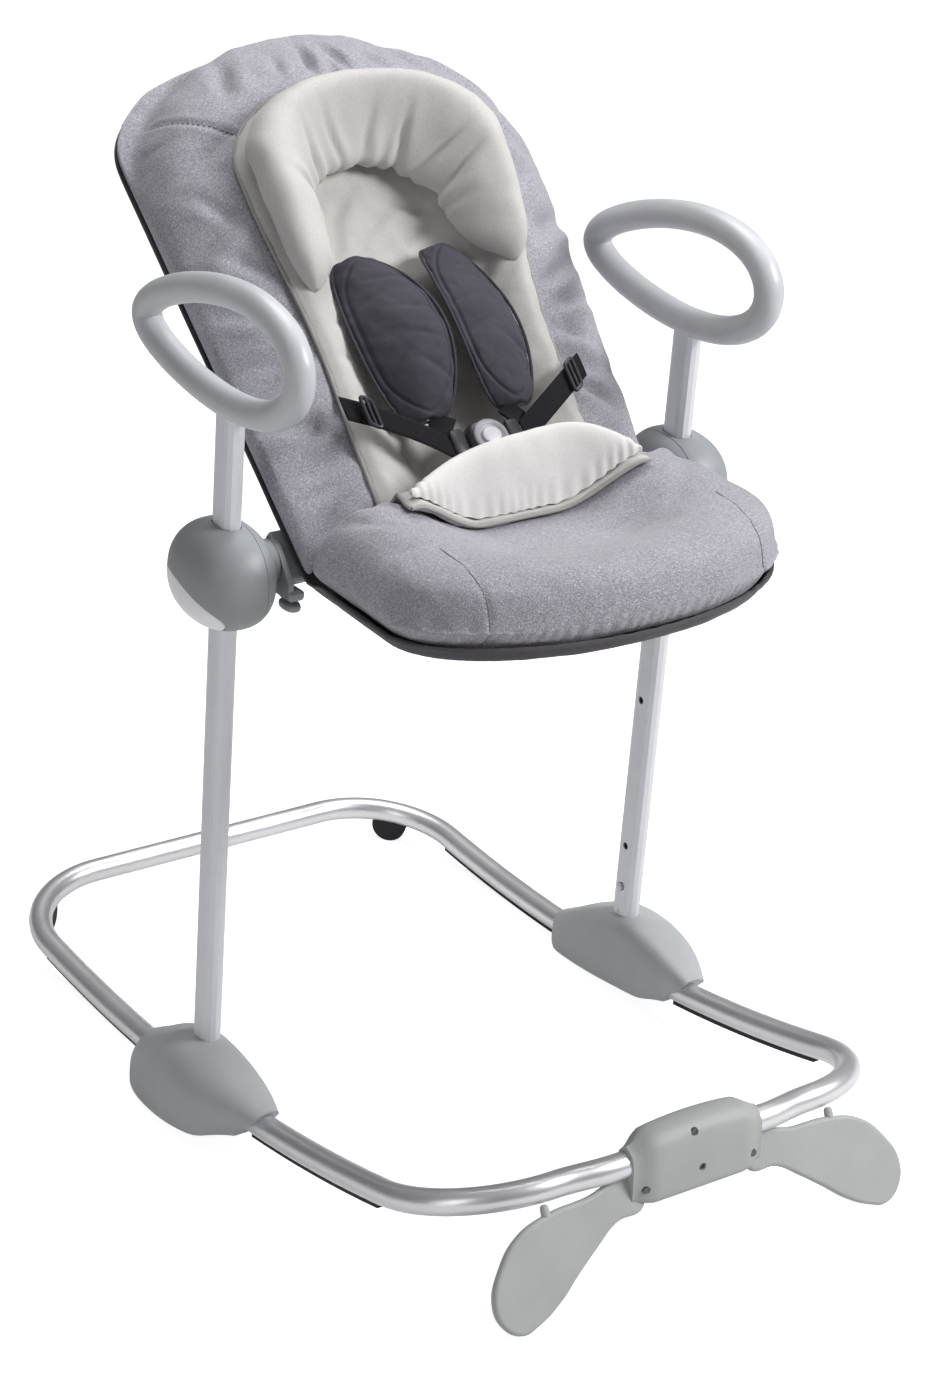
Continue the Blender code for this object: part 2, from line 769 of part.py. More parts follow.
def pedal_section(draw, dome):
    """The bracket from the side, as (back, up): a flat front, round over the rail."""
    front = -PEDAL_FRONT + draw
    back = PEDAL_BACK - draw
    top = PEDAL_TOP - draw + dome
    return [(front, -PEDAL_LOW), (front, top - 0.012), (front + 0.004, top - 0.004),
            (front + 0.012, top), (back - 0.012, top), (back - 0.003, top - 0.008),
            (back, top - 0.018), (back, -CLAMP_LOW), (back - 0.006, -CLAMP_LOW - 0.010),
            (front + 0.012, -PEDAL_LOW)]


def bracket():
    """The bracket from end to end, drawn in towards its ends and domed on top."""
    rings = []
    stations = ((0.0, PEDAL_DRAW), (0.08, PEDAL_DRAW * 0.3), (0.22, 0.0), (0.40, 0.0),
                (0.60, 0.0), (0.78, 0.0), (0.92, PEDAL_DRAW * 0.3), (1.0, PEDAL_DRAW))
    for t, draw in stations:
        x = blend(-PEDAL_HALF_W, PEDAL_HALF_W, t)
        dome = PEDAL_DOME * (1.0 - (2.0 * t - 1.0) ** 2)
        rings.append([(x, y, z) for y, z in pedal_section(draw, dome)])
    return loft(rings)


def pedal(frame):
    front = place_part(bracket(), "stop_pedal_front", frame, "hub", 40.0)
    half = 0.1
    behind = block((0.4, half, 0.2), Matrix.Translation((0.0, half / 2.0, 0.0)))
    combine(front, place_cutter(behind, frame))
    for side in (-1.0, 1.0):
        paddle = bezier_plate(paddle_outline(side), PADDLE_THICK, pedal_plane(), 0.003, 2)
        combine(front, place_cutter(paddle, frame), "UNION")
        nub_place = pedal_plane() @ Vector((side * NUB_X, NUB_AT, 0.0))
        nub_turn = Matrix.Rotation(math.pi / 2.0 - PEDAL_TILT, 4, "X")
        nub = rod(NUB_R, PADDLE_THICK * 0.7, Matrix.Translation(nub_place) @ nub_turn, 16)
        combine(front, place_cutter(nub, frame), "UNION")
    bore = rod(TUBE_R + RUN, 0.4, along_x((0.0, 0.0, 0.0)), 32)
    bore = place_cutter(bore, frame)
    combine(front, bore)
    clamp = place_part(bracket(), "stop_pedal_clamp", frame, "hub", 40.0)
    depth = 0.1
    ahead = block((0.4, depth, 0.2), Matrix.Translation((0.0, GAP - depth / 2.0, 0.0)))
    combine(clamp, place_cutter(ahead, frame))
    paddles_off = block((0.4, 0.1, 0.06), Matrix.Translation((0.0, 0.05, -0.03 - CLAMP_LOW)))
    combine(clamp, place_cutter(paddles_off, frame))
    combine(clamp, bore)
    screws(frame, front)


def screw_places():
    return ((-SCREW_SIDE_X, -SCREW_SIDE_DROP), (SCREW_SIDE_X, -SCREW_SIDE_DROP),
            (0.0, -SCREW_MID_DROP), (SCREW_TOP_X, SCREW_TOP_RISE))


def screws(frame, front):
    length = 0.012
    face = -PEDAL_FRONT + SCREW_SINK
    turn = Matrix.Rotation(math.pi / 2.0, 4, "X")
    for number, (x, z) in enumerate(screw_places(), 1):
        place = Matrix.Translation((x, face + length / 2.0, z)) @ turn
        screw = rod(SCREW_R, length, place, 12)
        place_part(screw, "stop_pedal_screw_" + str(number), frame, "steel")
        hole_long = length + SCREW_SINK + 2.0 * GAP
        hole_place = Matrix.Translation((x, face + length + GAP - hole_long / 2.0, z)) @ turn
        hole = rod(SCREW_R + GAP, hole_long, hole_place, 12)
        combine(front, place_cutter(hole, frame))


# Pods, in a frame at the pod's middle that leans with the post

def pod_solid(side, shrink, columns, rows):
    """A full ellipsoid, deeper outward than inward."""
    bm = bmesh.new()
    bmesh.ops.create_uvsphere(bm, u_segments=columns, v_segments=rows, radius=1.0)
    for vert in bm.verts:
        x, y, z = (math.copysign(abs(c) ** POD_FULL, c) if abs(c) > 1e-6 else 0.0 for c in vert.co)
        reach = POD_OUT if x > 0.0 else POD_IN
        vert.co = (side * x * (reach - shrink), y * (POD_LONG - shrink), z * (POD_TALL - shrink))
    return from_bmesh(bm)


def half_space(side, inward, margin=0.0):
    """A big block on one side of the pods' seam."""
    size = 0.2
    seam = -POD_SPLIT
    if inward:
        middle = seam - margin - size / 2.0
    else:
        middle = seam + margin + size / 2.0
    return block((size, size, size), Matrix.Translation((side * middle, 0.0, 0.0)))


def button_frame(side):
    """The height button's frame: its Z axis points out of the pod, its Y axis along it."""
    out = Vector((side * math.cos(BUTTON_AIM), 0.0, math.sin(BUTTON_AIM)))
    long = Vector((0.0, math.cos(BUTTON_TWIST), -math.sin(BUTTON_TWIST)))
    long = (long - out * long.dot(out)).normalized()
    across = long.cross(out)
    turn = Matrix((across, long, out)).transposed().to_4x4()
    return turn


def pod_middle(side):
    return (side * RAIL_X, 0.0, 0.0)


def pod(side, tag, carriage):
    frame = empty("pod_" + tag, carriage, pod_middle(side))
    hole_outline = stadium(POST_LONG + 2.0 * RUN, POST_THICK + 2.0 * RUN)
    post_hole = plate([hole_outline], 0.16)
    post_hole = place_cutter(post_hole, frame)
    collar_long = POST_LONG + 2.0 * (RUN + COLLAR_WALL)
    collar_thick = POST_THICK + 2.0 * (RUN + COLLAR_WALL)
    collar = place_cutter(plate([stadium(collar_long, collar_thick, 4)], 0.17), frame)
    outer_cavity = place_cutter(pod_solid(side, POD_WALL, 10, 6), frame)
    combine(outer_cavity, collar)
    outer = place_part(pod_solid(side, 0.0, 18, 10), "pod_outer_" + tag, frame, "pod", 50.0)
    combine(outer, place_cutter(half_space(side, True, -GAP / 2.0), frame))
    combine(outer, outer_cavity)
    combine(outer, post_hole)
    pin_x = -side * (POST_THICK / 2.0 + COLLAR_WALL)
    pin_hole = rod(PIN_R + RUN, 4.0 * COLLAR_WALL, along_x((pin_x, 0.0, -PIN_DROP)), 20)
    combine(outer, place_cutter(pin_hole, frame))
    slot = plate([ellipse(BUTTON_TALL / 2.0 + RUN, BUTTON_LONG / 2.0 + RUN, 20)], 0.05,
                 button_frame(side) @ lift(0.025 + 0.018))
    combine(outer, place_cutter(slot, frame))

    inner = place_part(pod_solid(side, 0.0, 18, 10), "pod_inner_" + tag, frame, "pod", 50.0)
    boss_x = RAIL_X - BOSS_FACE_X
    reach = boss_x - POD_SPLIT
    boss_mid = -side * (boss_x - reach / 2.0)
    boss_place = Vector((boss_mid, *hinge_in_pod()))
    combine(inner, place_cutter(rod(BOSS_R, reach, along_x(boss_place), 32), frame), "UNION")
    axle_reach = boss_x + ARM_THICK
    axle_long = axle_reach - POD_SPLIT
    axle_place = Vector((-side * (axle_reach - axle_long / 2.0), *hinge_in_pod()))
    combine(inner, place_cutter(rod(AXLE_R, axle_long, along_x(axle_place), 24), frame), "UNION")
    combine(inner, place_cutter(half_space(side, False, -GAP / 2.0), frame))
    inner_cavity = place_cutter(pod_solid(side, POD_WALL, 10, 6), frame)
    combine(inner, inner_cavity)

    lock_pin(side, tag, frame)
    height_button(side, tag, frame)


def hinge_in_pod():
    """The recline hinge's Y and Z in the pod's frame."""
    middle = post_point(POD_AT)
    offset = Vector((0.0, HINGE_Y, HINGE_Z)) - middle
    local = Matrix.Rotation(-POST_LEAN, 3, "X") @ offset
    return local.y, local.z


def post_point(at):
    return Vector((0.0, -math.sin(POST_LEAN) * at, POST_FOOT_Z + math.cos(POST_LEAN) * at))


def lock_pin(side, tag, frame):
    nose = POST_THICK / 2.0 + 0.0003
    holder = empty("lock_pin_axis_" + tag, frame, (-side * (nose + PIN_LONG / 2.0), 0.0, -PIN_DROP))
    pin = rod(PIN_R, PIN_LONG, along_x((0.0, 0.0, 0.0)), 16)
    place_part(pin, "lock_pin_" + tag, holder, "steel")


def height_button(side, tag, frame):
    turn = button_frame(side)
    holder = bpy.data.objects.new("height_button_axis_" + tag, None)
    holder.parent = frame
    bpy.context.scene.collection.objects.link(holder)
    button = place_part(pod_solid(side, 0.0, 18, 10), "height_button_" + tag, holder, "white", 50.0)
    prism = plate([ellipse(BUTTON_TALL / 2.0, BUTTON_LONG / 2.0, 20)], 0.05,
                  turn @ lift(0.025 + 0.0185))
    combine(button, place_cutter(prism, holder), "INTERSECT")
    core = pod_solid(side, BUTTON_DEEP, 12, 8)
    combine(button, place_cutter(core, holder))


# Seat, in a frame on the recline hinge

def back_point(x, s, n):
    """A point of the back: s up along it from the hip, n above its underside."""
    y = HIP_Y + s * math.cos(BACK_ANGLE) - n * math.sin(BACK_ANGLE) - HINGE_Y
    z = HIP_Z + s * math.sin(BACK_ANGLE) + n * math.cos(BACK_ANGLE) - HINGE_Z
    return Vector((x, y, z))


def pan_point(x, p, n):
    """A point of the seat pan: p forward from the hip, n above its underside."""
    return Vector((x, HIP_Y - p - HINGE_Y, HIP_Z + n - HINGE_Z))


def mitre(n):
    """How far the hip's mitre plane is from the corner at height n."""
    return n * math.tan(BACK_ANGLE / 2.0)


def back_half_w(s):
    return blend(HIP_HALF_W, BACK_HALF_W, min(max(s / (BACK_LONG - HEAD_ROUND), 0.0), 1.0))


def pan_half_w(p):
    return blend(HIP_HALF_W, PAN_HALF_W, min(max(p / (PAN_LONG - PAN_ROUND), 0.0), 1.0))


def plan(u, v, length, rounding, half_w, inset=0.0):
    """Square (u, v) to (x, along) on an outline whose far end is half an ellipse."""
    straight = length - rounding
    share = straight / length
    if v <= share:
        along = v * length
        return u * (half_w(along) - inset), along
    w = (v - share) / (1.0 - share)
    x = u * math.sqrt(1.0 - 0.5 * w * w) * (half_w(straight) - inset)
    return x, straight + w * math.sqrt(1.0 - 0.5 * u * u) * (rounding - inset)


def edge_distance(x, along, length, rounding, half_w):
    """0 on the outline, 1 on the middle line."""
    straight = length - rounding
    across = min(abs(x) / half_w(along), 1.0)
    if along <= straight:
        return 1.0 - across
    up = min((along - straight) / rounding, 1.0)
    reach = (across ** 2.0 + up ** 2.0) ** 0.5
    return max(0.0, 1.0 - reach)


def back_top(x, s):
    """The height of the back cushion's face over the underside."""
    t = edge_distance(x, s, BACK_LONG, HEAD_ROUND * 1.9, back_half_w)
    crown = blend(BACK_CROWN_HIP, BACK_CROWN_HEAD, smooth(s / (BACK_LONG * 0.75)))
    crown *= 1.0 - 0.22 * smooth((s - 0.80 * BACK_LONG) / (0.2 * BACK_LONG))
    edge = COVER_DISH_BACK + COVER_T + CUSHION_LIFT + EDGE_BACK
    q = min(t / 0.40, 1.0)
    full = math.sqrt(1.0 - (1.0 - q) ** 2.0) ** 1.15
    rise = blend(math.sin(0.5 * math.pi * q), full, smooth(s / 0.34))
    dip = smooth((t - 0.42) / 0.36)
    return blend(edge, crown, rise) - (crown - BACK_HOLLOW) * dip


def pan_top(x, p):
    """The height of the leg cushion's face over the underside."""
    t = edge_distance(x, p, PAN_LONG, PAN_ROUND * 1.2, pan_half_w)
    crown = blend(PAN_CROWN_HIP, PAN_CROWN_FRONT, smooth(p / PAN_LONG))
    edge = COVER_DISH_PAN + COVER_T + CUSHION_LIFT + EDGE_PAN
    rise = math.sqrt(1.0 - (1.0 - min(t / 0.30, 1.0)) ** 2.0)
    dip = smooth((t - 0.30) / 0.50) * (1.0 - 0.55 * smooth((p - 0.10) / 0.10))
    return blend(edge, crown, rise) - (crown - PAN_HOLLOW) * dip


def cover_floor(x, along, length, rounding, half_w, dish):
    """The under cover's lower face: its edges are drawn up."""
    rise, rim = dish
    t = edge_distance(x, along, length, rounding, half_w)
    return rise * (1.0 - smooth(t / rim))


def cushion_floor(x, along, length, rounding, half_w, dish):
    """The cushions hang down to the under cover at their hems and lie over the frame inside."""
    low = cover_floor(x, along, length, rounding, half_w, dish) + COVER_T + CUSHION_LIFT
    hem = hem_distance(x, along, length, rounding, half_w)
    return blend(low, CUSHION_OVER_FRAME, smooth(hem / HEM_WIDE))


def hem_distance(x, along, length, rounding, half_w):
    """How far a point lies inside the outline."""
    straight = length - rounding
    if along <= straight:
        return half_w(along) - abs(x)
    reach = 1.0 - edge_distance(x, along, length, rounding, half_w)
    from_middle = math.hypot(x, along - straight)
    return from_middle / max(reach, 0.1) - from_middle + max(0.1 - reach, 0.0)


BACK_DISH = (COVER_DISH_BACK, RIM_BACK)
PAN_DISH = (COVER_DISH_PAN, RIM_PAN)
SEAT_COLUMNS = (0.0, 0.2, 0.4, 0.56, 0.71, 0.83, 0.92, 0.965, 1.0)


def columns():
    right = list(SEAT_COLUMNS)
    return [-u for u in right[:0:-1]] + right


def end_rows(length, count):
    """Rows along a half of the seat, closer towards the hem of the rounded end."""
    near_end = [1.0 - gap / length for gap in (2.2 * HEM_WIDE, 1.1 * HEM_WIDE, 0.45 * HEM_WIDE, 0.0)]
    rows = [k / count for k in range(count + 1)]
    return [v for v in rows if v < near_end[0] - 0.03] + near_end


def padded(point, top, length, rounding, half_w, dish, rows, swell):
    shape = []
    for v in end_rows(length, rows):
        upper = []
        lower = []
        start = 1.0 - v
        for u in columns():
            x, along = plan(u, v, length, rounding, half_w)
            high = top(x, along)
            low = cushion_floor(x, along, length, rounding, half_w, dish)
            wide_x, far = plan(u, v, length, rounding, half_w, -swell)
            upper.append(point(wide_x, far + (mitre(high) + SOFT_GAP / 2.0) * start, high))
            lower.append(point(x, along + (mitre(low) + SOFT_GAP / 2.0) * start, low))
        shape.append((upper, lower))
    return slab(shape)


def back_cushion(frame):
    body = padded(back_point, back_top, BACK_LONG, HEAD_ROUND, back_half_w, BACK_DISH, 14,
                  SWELL_BACK)
    place_part(body, "back_cushion", frame, "cover", 60.0)


def leg_cushion(frame):
    body = padded(pan_point, pan_top, PAN_LONG, PAN_ROUND, pan_half_w, PAN_DISH, 8, SWELL_PAN)
    place_part(body, "leg_cushion", frame, "cover", 60.0)


def cover_rows(point, length, rounding, half_w, dish, rows):
    shape = []
    marks = (-1.0, -0.965, -0.90, -0.6, 0.0, 0.6, 0.90, 0.965, 1.0)
    rim = dish[1] * half_w(0.0) / length
    steps = [k / rows for k in range(rows)] + [1.0 - rim, 1.0]
    for v in steps:
        upper = []
        lower = []
        for u in marks:
            x, along = plan(u, v, length, rounding, half_w, 0.0010)
            low = cover_floor(x, along, length, rounding, half_w, dish)
            high = low + COVER_T
            start = 1.0 - v
            upper.append(point(x, along + mitre(high) * start, high))
            lower.append(point(x, along + mitre(low) * start, low))
        shape.append((upper, lower))
    return shape


def under_cover(frame):
    """The dark under cover, one sheet bent at the hip with its edges drawn up."""
    back = cover_rows(back_point, BACK_LONG, HEAD_ROUND, back_half_w, BACK_DISH, 10)
    pan = cover_rows(pan_point, PAN_LONG, PAN_ROUND, pan_half_w, PAN_DISH, 7)
    return place_part(slab(pan[:0:-1] + back), "under_cover", frame, "under", 40.0)


def frame_side(point, length, rounding, half_w, steps):
    """The frame's axis from near the hip along the right side to the middle of the end."""
    inset = FRAME_INSET
    straight = length - rounding
    points = []
    runs = 4
    for k in range(runs):
        along = blend(0.03, straight, k / runs)
        points.append(point(half_w(along) - inset, along, FRAME_RISE))
    for k in range(steps + 1):
        a = 0.5 * math.pi * k / steps
        x = (half_w(straight) - inset) * math.cos(a)
        points.append(point(x, straight + (rounding - inset) * math.sin(a), FRAME_RISE))
    return points


def hip_arc():
    """The frame's bend at the hip."""
    x = HIP_HALF_W - FRAME_INSET
    corner = back_point(x, mitre(FRAME_RISE), FRAME_RISE)
    up = (back_point(x, 1.0, 0.0) - back_point(x, 0.0, 0.0)).normalized()
    ahead = (pan_point(x, 1.0, 0.0) - pan_point(x, 0.0, 0.0)).normalized()
    cut = FRAME_HIP_R * math.tan(BACK_ANGLE / 2.0)
    inward = (up + ahead).normalized()
    centre = corner + inward * (FRAME_HIP_R / math.cos(BACK_ANGLE / 2.0))
    points = []
    steps = 4
    first = corner + ahead * cut - centre
    last = corner + up * cut - centre
    for k in range(steps + 1):
        points.append(centre + first.slerp(last, k / steps).normalized() * FRAME_HIP_R)
    return points


def seat_frame(frame):
    back = frame_side(back_point, BACK_LONG, HEAD_ROUND, back_half_w, 7)
    pan = frame_side(pan_point, PAN_LONG, PAN_ROUND, pan_half_w, 6)
    right = pan[::-1] + hip_arc() + back
    left = [Vector((-p.x, p.y, p.z)) for p in right[1:-1]]
    place_part(pipe(right + left[::-1], FRAME_R, 1, True), "seat_frame", frame, "steel", 60.0)


def side_plate_outline():
    """The hinge arm from the side: a round eye and a smaller round nose, joined."""
    eye = Vector((0.0, 0.0))
    nose = Vector((ARM_NOSE_Y - HINGE_Y, ARM_NOSE_Z - HINGE_Z))
    span = nose - eye
    heading = math.atan2(span.y, span.x)
    lean = math.acos((ARM_R - ARM_NOSE_R) / span.length)
    points = []
    steps = 14
    for k in range(steps + 1):
        a = heading + lean + (2.0 * math.pi - 2.0 * lean) * k / steps
        points.append((ARM_R * math.cos(a), ARM_R * math.sin(a)))
    steps = 7
    for k in range(steps + 1):
        a = heading - lean + 2.0 * lean * k / steps
        points.append((nose.x + ARM_NOSE_R * math.cos(a), nose.y + ARM_NOSE_R * math.sin(a)))
    return points


def yz_frame(x):
    """A frame whose XY plane is the YZ plane at x."""
    turn = Matrix(((0.0, 0.0, 1.0), (1.0, 0.0, 0.0), (0.0, 1.0, 0.0))).to_4x4()
    return Matrix.Translation((x, 0.0, 0.0)) @ turn


def back_frame(x, s, n):
    """A frame on the back: its Y axis up along it, its Z axis out of its face."""
    return Matrix.Translation(back_point(x, s, n)) @ Matrix.Rotation(BACK_ANGLE, 4, "X")


def hinge_arm(side, tag, frame):
    middle_x = side * (BOSS_FACE_X - GAP - ARM_THICK / 2.0)
    plate_body = plate([side_plate_outline()], ARM_THICK, yz_frame(middle_x))
    arm = place_part(plate_body, "hinge_arm_" + tag, frame, "post", 40.0)
    width = BOSS_FACE_X - GAP - ARM_THICK / 2.0 - FLANGE_IN_X
    mid_n = -GAP - FLANGE_THICK / 2.0
    flange_place = back_frame(side * (FLANGE_IN_X + width / 2.0), FLANGE_START + FLANGE_LONG / 2.0,
                              mid_n)
    flange = block((width, FLANGE_LONG, FLANGE_THICK), flange_place, 0.002, 1)
    combine(arm, place_cutter(flange, frame), "UNION")
    housing = block((HOUSING_W, HOUSING_LONG, HOUSING_TALL), housing_place(side), 0.0025, 1)
    combine(arm, place_cutter(housing, frame), "UNION")
    eye = rod(AXLE_R + RUN, 0.03, along_x((side * BOSS_FACE_X, 0.0, 0.0)), 24)
    combine(arm, place_cutter(eye, frame))
    pocket_deep = STEM_IN + CAP_STROKE + GAP
    pocket = block((HOUSING_W - 2.0 * POCKET_SIDE, HOUSING_LONG - 2.0 * POCKET_SIDE,
                    2.0 * pocket_deep), housing_place(side) @ lift(-HOUSING_TALL / 2.0))
    combine(arm, place_cutter(pocket, frame))
    hole = rod(BOLT_R + GAP, 0.05, back_frame(side * bolt_x(BOLT_AT), BOLT_AT, 0.0), 12)
    combine(arm, place_cutter(hole, frame))


def bolt_x(s):
    return back_half_w(s) - FRAME_INSET


def housing_place(side):
    x = side * (BOSS_FACE_X - GAP - HOUSING_W / 2.0)
    y = ARM_NOSE_Y - HINGE_Y
    z = HIP_Z - HINGE_Z - GAP - HOUSING_TALL / 2.0
    return Matrix.Translation((x, y, z))


def recline_button(side, tag, frame):
    x, y, z = housing_place(side).translation
    base_z = z - HOUSING_TALL / 2.0
    holder = empty("recline_axis_" + tag, frame, (x, y, base_z))
    gap = CAP_STROKE + GAP
    cap_size = (HOUSING_W - 0.001, HOUSING_LONG - 0.001, CAP_TALL - gap)
    cap = block(cap_size, Matrix.Translation((0.0, 0.0, -gap - cap_size[2] / 2.0)), 0.004, 2)
    cap = place_part(cap, "recline_button_" + tag, holder, "pod", 50.0)
    stem_long = STEM_LAP + gap + STEM_IN
    stem = block((HOUSING_W - 2.0 * STEM_SIDE, HOUSING_LONG - 2.0 * STEM_SIDE, stem_long),
                 lift(STEM_IN - stem_long / 2.0))
    combine(cap, place_cutter(stem, holder), "UNION")


def arm_bolt(side, tag, frame, cover):
    """A round-headed bolt from below through the arm and the cover to the seat frame."""
    tip = FRAME_RISE - FRAME_R - GAP
    seat = -2.0 * GAP - FLANGE_THICK
    x = side * bolt_x(BOLT_AT)
    place = back_frame(x, BOLT_AT, 0.0)
    rings = []
    for r, n in ((BOLT_HEAD_R * 0.8, seat - BOLT_HEAD), (BOLT_HEAD_R, seat - BOLT_HEAD * 0.6),
                 (BOLT_HEAD_R, seat), (BOLT_R, seat), (BOLT_R, tip)):
        rings.append([place @ Vector((px, py, n)) for px, py in ellipse(r, r, 12)])
    place_part(loft(rings), "arm_bolt_" + tag, frame, "steel")
    hole = rod(BOLT_R + GAP, 0.010, place, 12)
    combine(cover, place_cutter(hole, frame))


# Soft pieces that lie on the cushions

def insert_half_w(s):
    if s > INSERT_WAIST:
        t = smooth((s - INSERT_WAIST) / (PILLOW_TAIL - INSERT_WAIST + 0.12))
        return blend(INSERT_HALF_W, INSERT_HEAD_HALF_W, t)
    return INSERT_HALF_W


def insert_rows():
    rows = []
    columns = 10
    ends = 0.085
    straight = INSERT_TOP - ends

    def row(point, top, pairs, start):
        upper = []
        lower = []
        for x, along in pairs:
            low = top(x, along) + INSERT_LIFT
            high = low + INSERT_T
            upper.append(point(x, along + mitre(high) * start, high))
            lower.append(point(x, along + mitre(low) * start, low))
        return upper, lower

    front = ROLL_FRONT + INSERT_LIP
    for p in (front, front * 0.66, front * 0.30):
        pairs = [((2.0 * i / columns - 1.0) * pan_insert_half_w(p), p) for i in range(columns + 1)]
        rows.append(row(pan_point, pan_top, pairs, 1.0))
    pairs = [((2.0 * i / columns - 1.0) * INSERT_HALF_W, 0.0) for i in range(columns + 1)]
    rows.append(row(back_point, hip_top, pairs, 1.0))
    back_rows = 13
    for k in range(1, back_rows + 1):
        v = k / back_rows
        pairs = []
        for i in range(columns + 1):
            u = 2.0 * i / columns - 1.0
            pairs.append(plan(u, v, INSERT_TOP, ends, insert_half_w))
        rows.append(row(back_point, back_top, pairs, max(0.0, 1.0 - pairs[0][1] / straight)))
    return rows


def pan_insert_half_w(p):
    return blend(INSERT_HALF_W, INSERT_HEM_HALF_W, smooth(p / ROLL_FRONT))


def hip_top(x, along):
    return max(back_top(x, along), pan_top(x, along))


def insert_pad(frame):
    place_part(slab(insert_rows()), "insert_pad", frame, "insert", 60.0)


def insert_face(x, s):
    return back_top(x, s) + INSERT_LIFT + INSERT_T


def head_pillow(frame):
    """A horseshoe that lies round the head, thicker in the arch than in its tails."""
    path = []
    for rise in PILLOW_TAIL_STEPS:
        path.append((PILLOW_TAIL_X, PILLOW_TAIL + rise))
    steps = 12
    for k in range(steps + 1):
        a = math.pi * k / steps
        path.append((PILLOW_X * math.cos(a), PILLOW_ARCH + PILLOW_ARCH_RISE * math.sin(a)))
    for rise in PILLOW_TAIL_STEPS[::-1]:
        path.append((-PILLOW_TAIL_X, PILLOW_TAIL + rise))
    shape = []
    last = len(path) - 1
    for k, (x, s) in enumerate(path):
        before = Vector(path[max(k - 1, 0)])
        after = Vector(path[min(k + 1, last)])
        heading = (after - before).normalized()
        across = Vector((heading.y, -heading.x))
        tail = min(k, last - k) / 3.0
        width = PILLOW_HALF_W * blend(0.45, 1.0, smooth(tail))
        rise = PILLOW_RISE * blend(0.40, 1.0, smooth(tail))
        upper = []
        lower = []
        for c in (-1.0, -0.7, -0.25, 0.25, 0.7, 1.0):
            px = x + across.x * width * c
            ps = s + across.y * width * c
            low = insert_face(px, ps) + PILLOW_LIFT
            dome = blend(0.30, 1.0, math.sqrt(max(0.0, 1.0 - c * c)))
            upper.append(back_point(px, ps, low + rise * dome))
            lower.append(back_point(px, ps, low))
        shape.append((upper, lower))
    place_part(slab(shape), "head_pillow", frame, "insert", 60.0)


def leg_roll(frame):
    """A half-moon cushion across the leg part."""
    shape = []
    rows = 6
    columns = 12
    for j in range(rows + 1):
        t = j / rows
        upper = []
        lower = []
        for i in range(columns + 1):
            u = 2.0 * i / columns - 1.0
            x = u * ROLL_HALF_W * math.sqrt(1.0 - 0.5 * (2.0 * t - 1.0) ** 2)
            p = blend(ROLL_BACK, ROLL_FRONT, t)
            low = pan_top(x, p) + INSERT_LIFT + INSERT_T + SOFT_GAP
            dome = math.sqrt(max(0.0, 1.0 - u * u)) * math.sqrt(max(0.0, 1.0 - (2.0 * t - 1.0) ** 2))
            high = low + 0.004 + ROLL_RISE * dome ** 0.8
            upper.append(pan_point(x, p + mitre(low) - ROLL_LEAN * (high - low), high))
            lower.append(pan_point(x, p + mitre(low), low))
        shape.append((upper, lower))
    place_part(slab(shape), "leg_roll", frame, "insert", 60.0)


def pad_line(t):
    """The shoulder pads' middle line: along the back, and height over its underside."""
    s = blend(PAD_LOW, PAD_TOP, t)
    n = PAD_LIFT + 0.020 * math.sin(math.pi * t) + 0.016 * (1.0 - t)
    return s, n


def shoulder_pad(side, tag, frame):
    shape = []
    rows = 8
    for j in range(rows + 1):
        t = j / rows
        s, n = pad_line(t)
        width = PAD_HALF_W * blend(0.55, 1.0, math.sin(math.pi * min(max(t, 0.06), 0.94)) ** 0.6)
        upper = []
        lower = []
        for c in (-1.0, -0.75, -0.3, 0.3, 0.75, 1.0):
            half = 0.5 * PAD_T * blend(0.25, 1.0, math.sqrt(max(0.0, 1.0 - c * c)))
            x = side * PAD_X + c * width
            tilted = n + side * c * PAD_TILT
            upper.append(back_point(x, s, tilted + half))
            lower.append(back_point(x, s, tilted - half))
        shape.append((upper, lower))
    place_part(slab(shape), "shoulder_pad_" + tag, frame, "pads", 60.0)


def webbing(name, line, width_axis, frame):
    """A flat strap along a line of points, its width along one direction."""
    half = width_axis.normalized() * STRAP_W / 2.0
    shape = []
    last = len(line) - 1
    for k, place in enumerate(line):
        heading = (line[min(k + 1, last)] - line[max(k - 1, 0)]).normalized()
        normal = heading.cross(width_axis).normalized() * STRAP_T / 2.0
        upper = [place - half + normal, place + half + normal]
        lower = [place - half - normal, place + half - normal]
        shape.append((upper, lower))
    return place_part(slab(shape), name, frame, "web", 30.0)


def arc_line(start, end, sag, steps, direction):
    points = []
    for k in range(steps + 1):
        t = k / steps
        points.append(start.lerp(end, t) + direction * sag * math.sin(math.pi * t))
    return points


def face_out():
    return (back_point(0.0, 0.0, 1.0) - back_point(0.0, 0.0, 0.0)).normalized()


def up_back():
    return (back_point(0.0, 1.0, 0.0) - back_point(0.0, 0.0, 0.0)).normalized()


def buckle_place(x=0.0, s=0.0, n=0.0):
    return back_point(x, BUCKLE_AT + s, BUCKLE_LIFT + n)


def waist_strap(side, tag, frame):
    start_n = insert_face(WAIST_X, WAIST_S) + SOFT_GAP + 0.007
    start = back_point(side * WAIST_X, WAIST_S, start_n)
    end = buckle_place(side * (BUCKLE_W / 2.0 + 0.0182))
    line = arc_line(start, end, 0.006, 5, face_out())
    webbing("waist_strap_" + tag, line, up_back(), frame)
    slider_at = start.lerp(end, 0.22)
    heading = (end - start).normalized()
    up = up_back()
    out = heading.cross(up).normalized()
    if out.dot(face_out()) < 0.0:
        out = -out
    turn = Matrix((heading, up, heading.cross(up))).transposed().to_4x4()
    spot = slider_at + out * (STRAP_T + 0.0070)
    slider = block((0.016, STRAP_W + 0.008, 0.004), Matrix.Translation(spot) @ turn, 0.001, 1)
    place_part(slider, "strap_slider_" + tag, frame, "buckle")


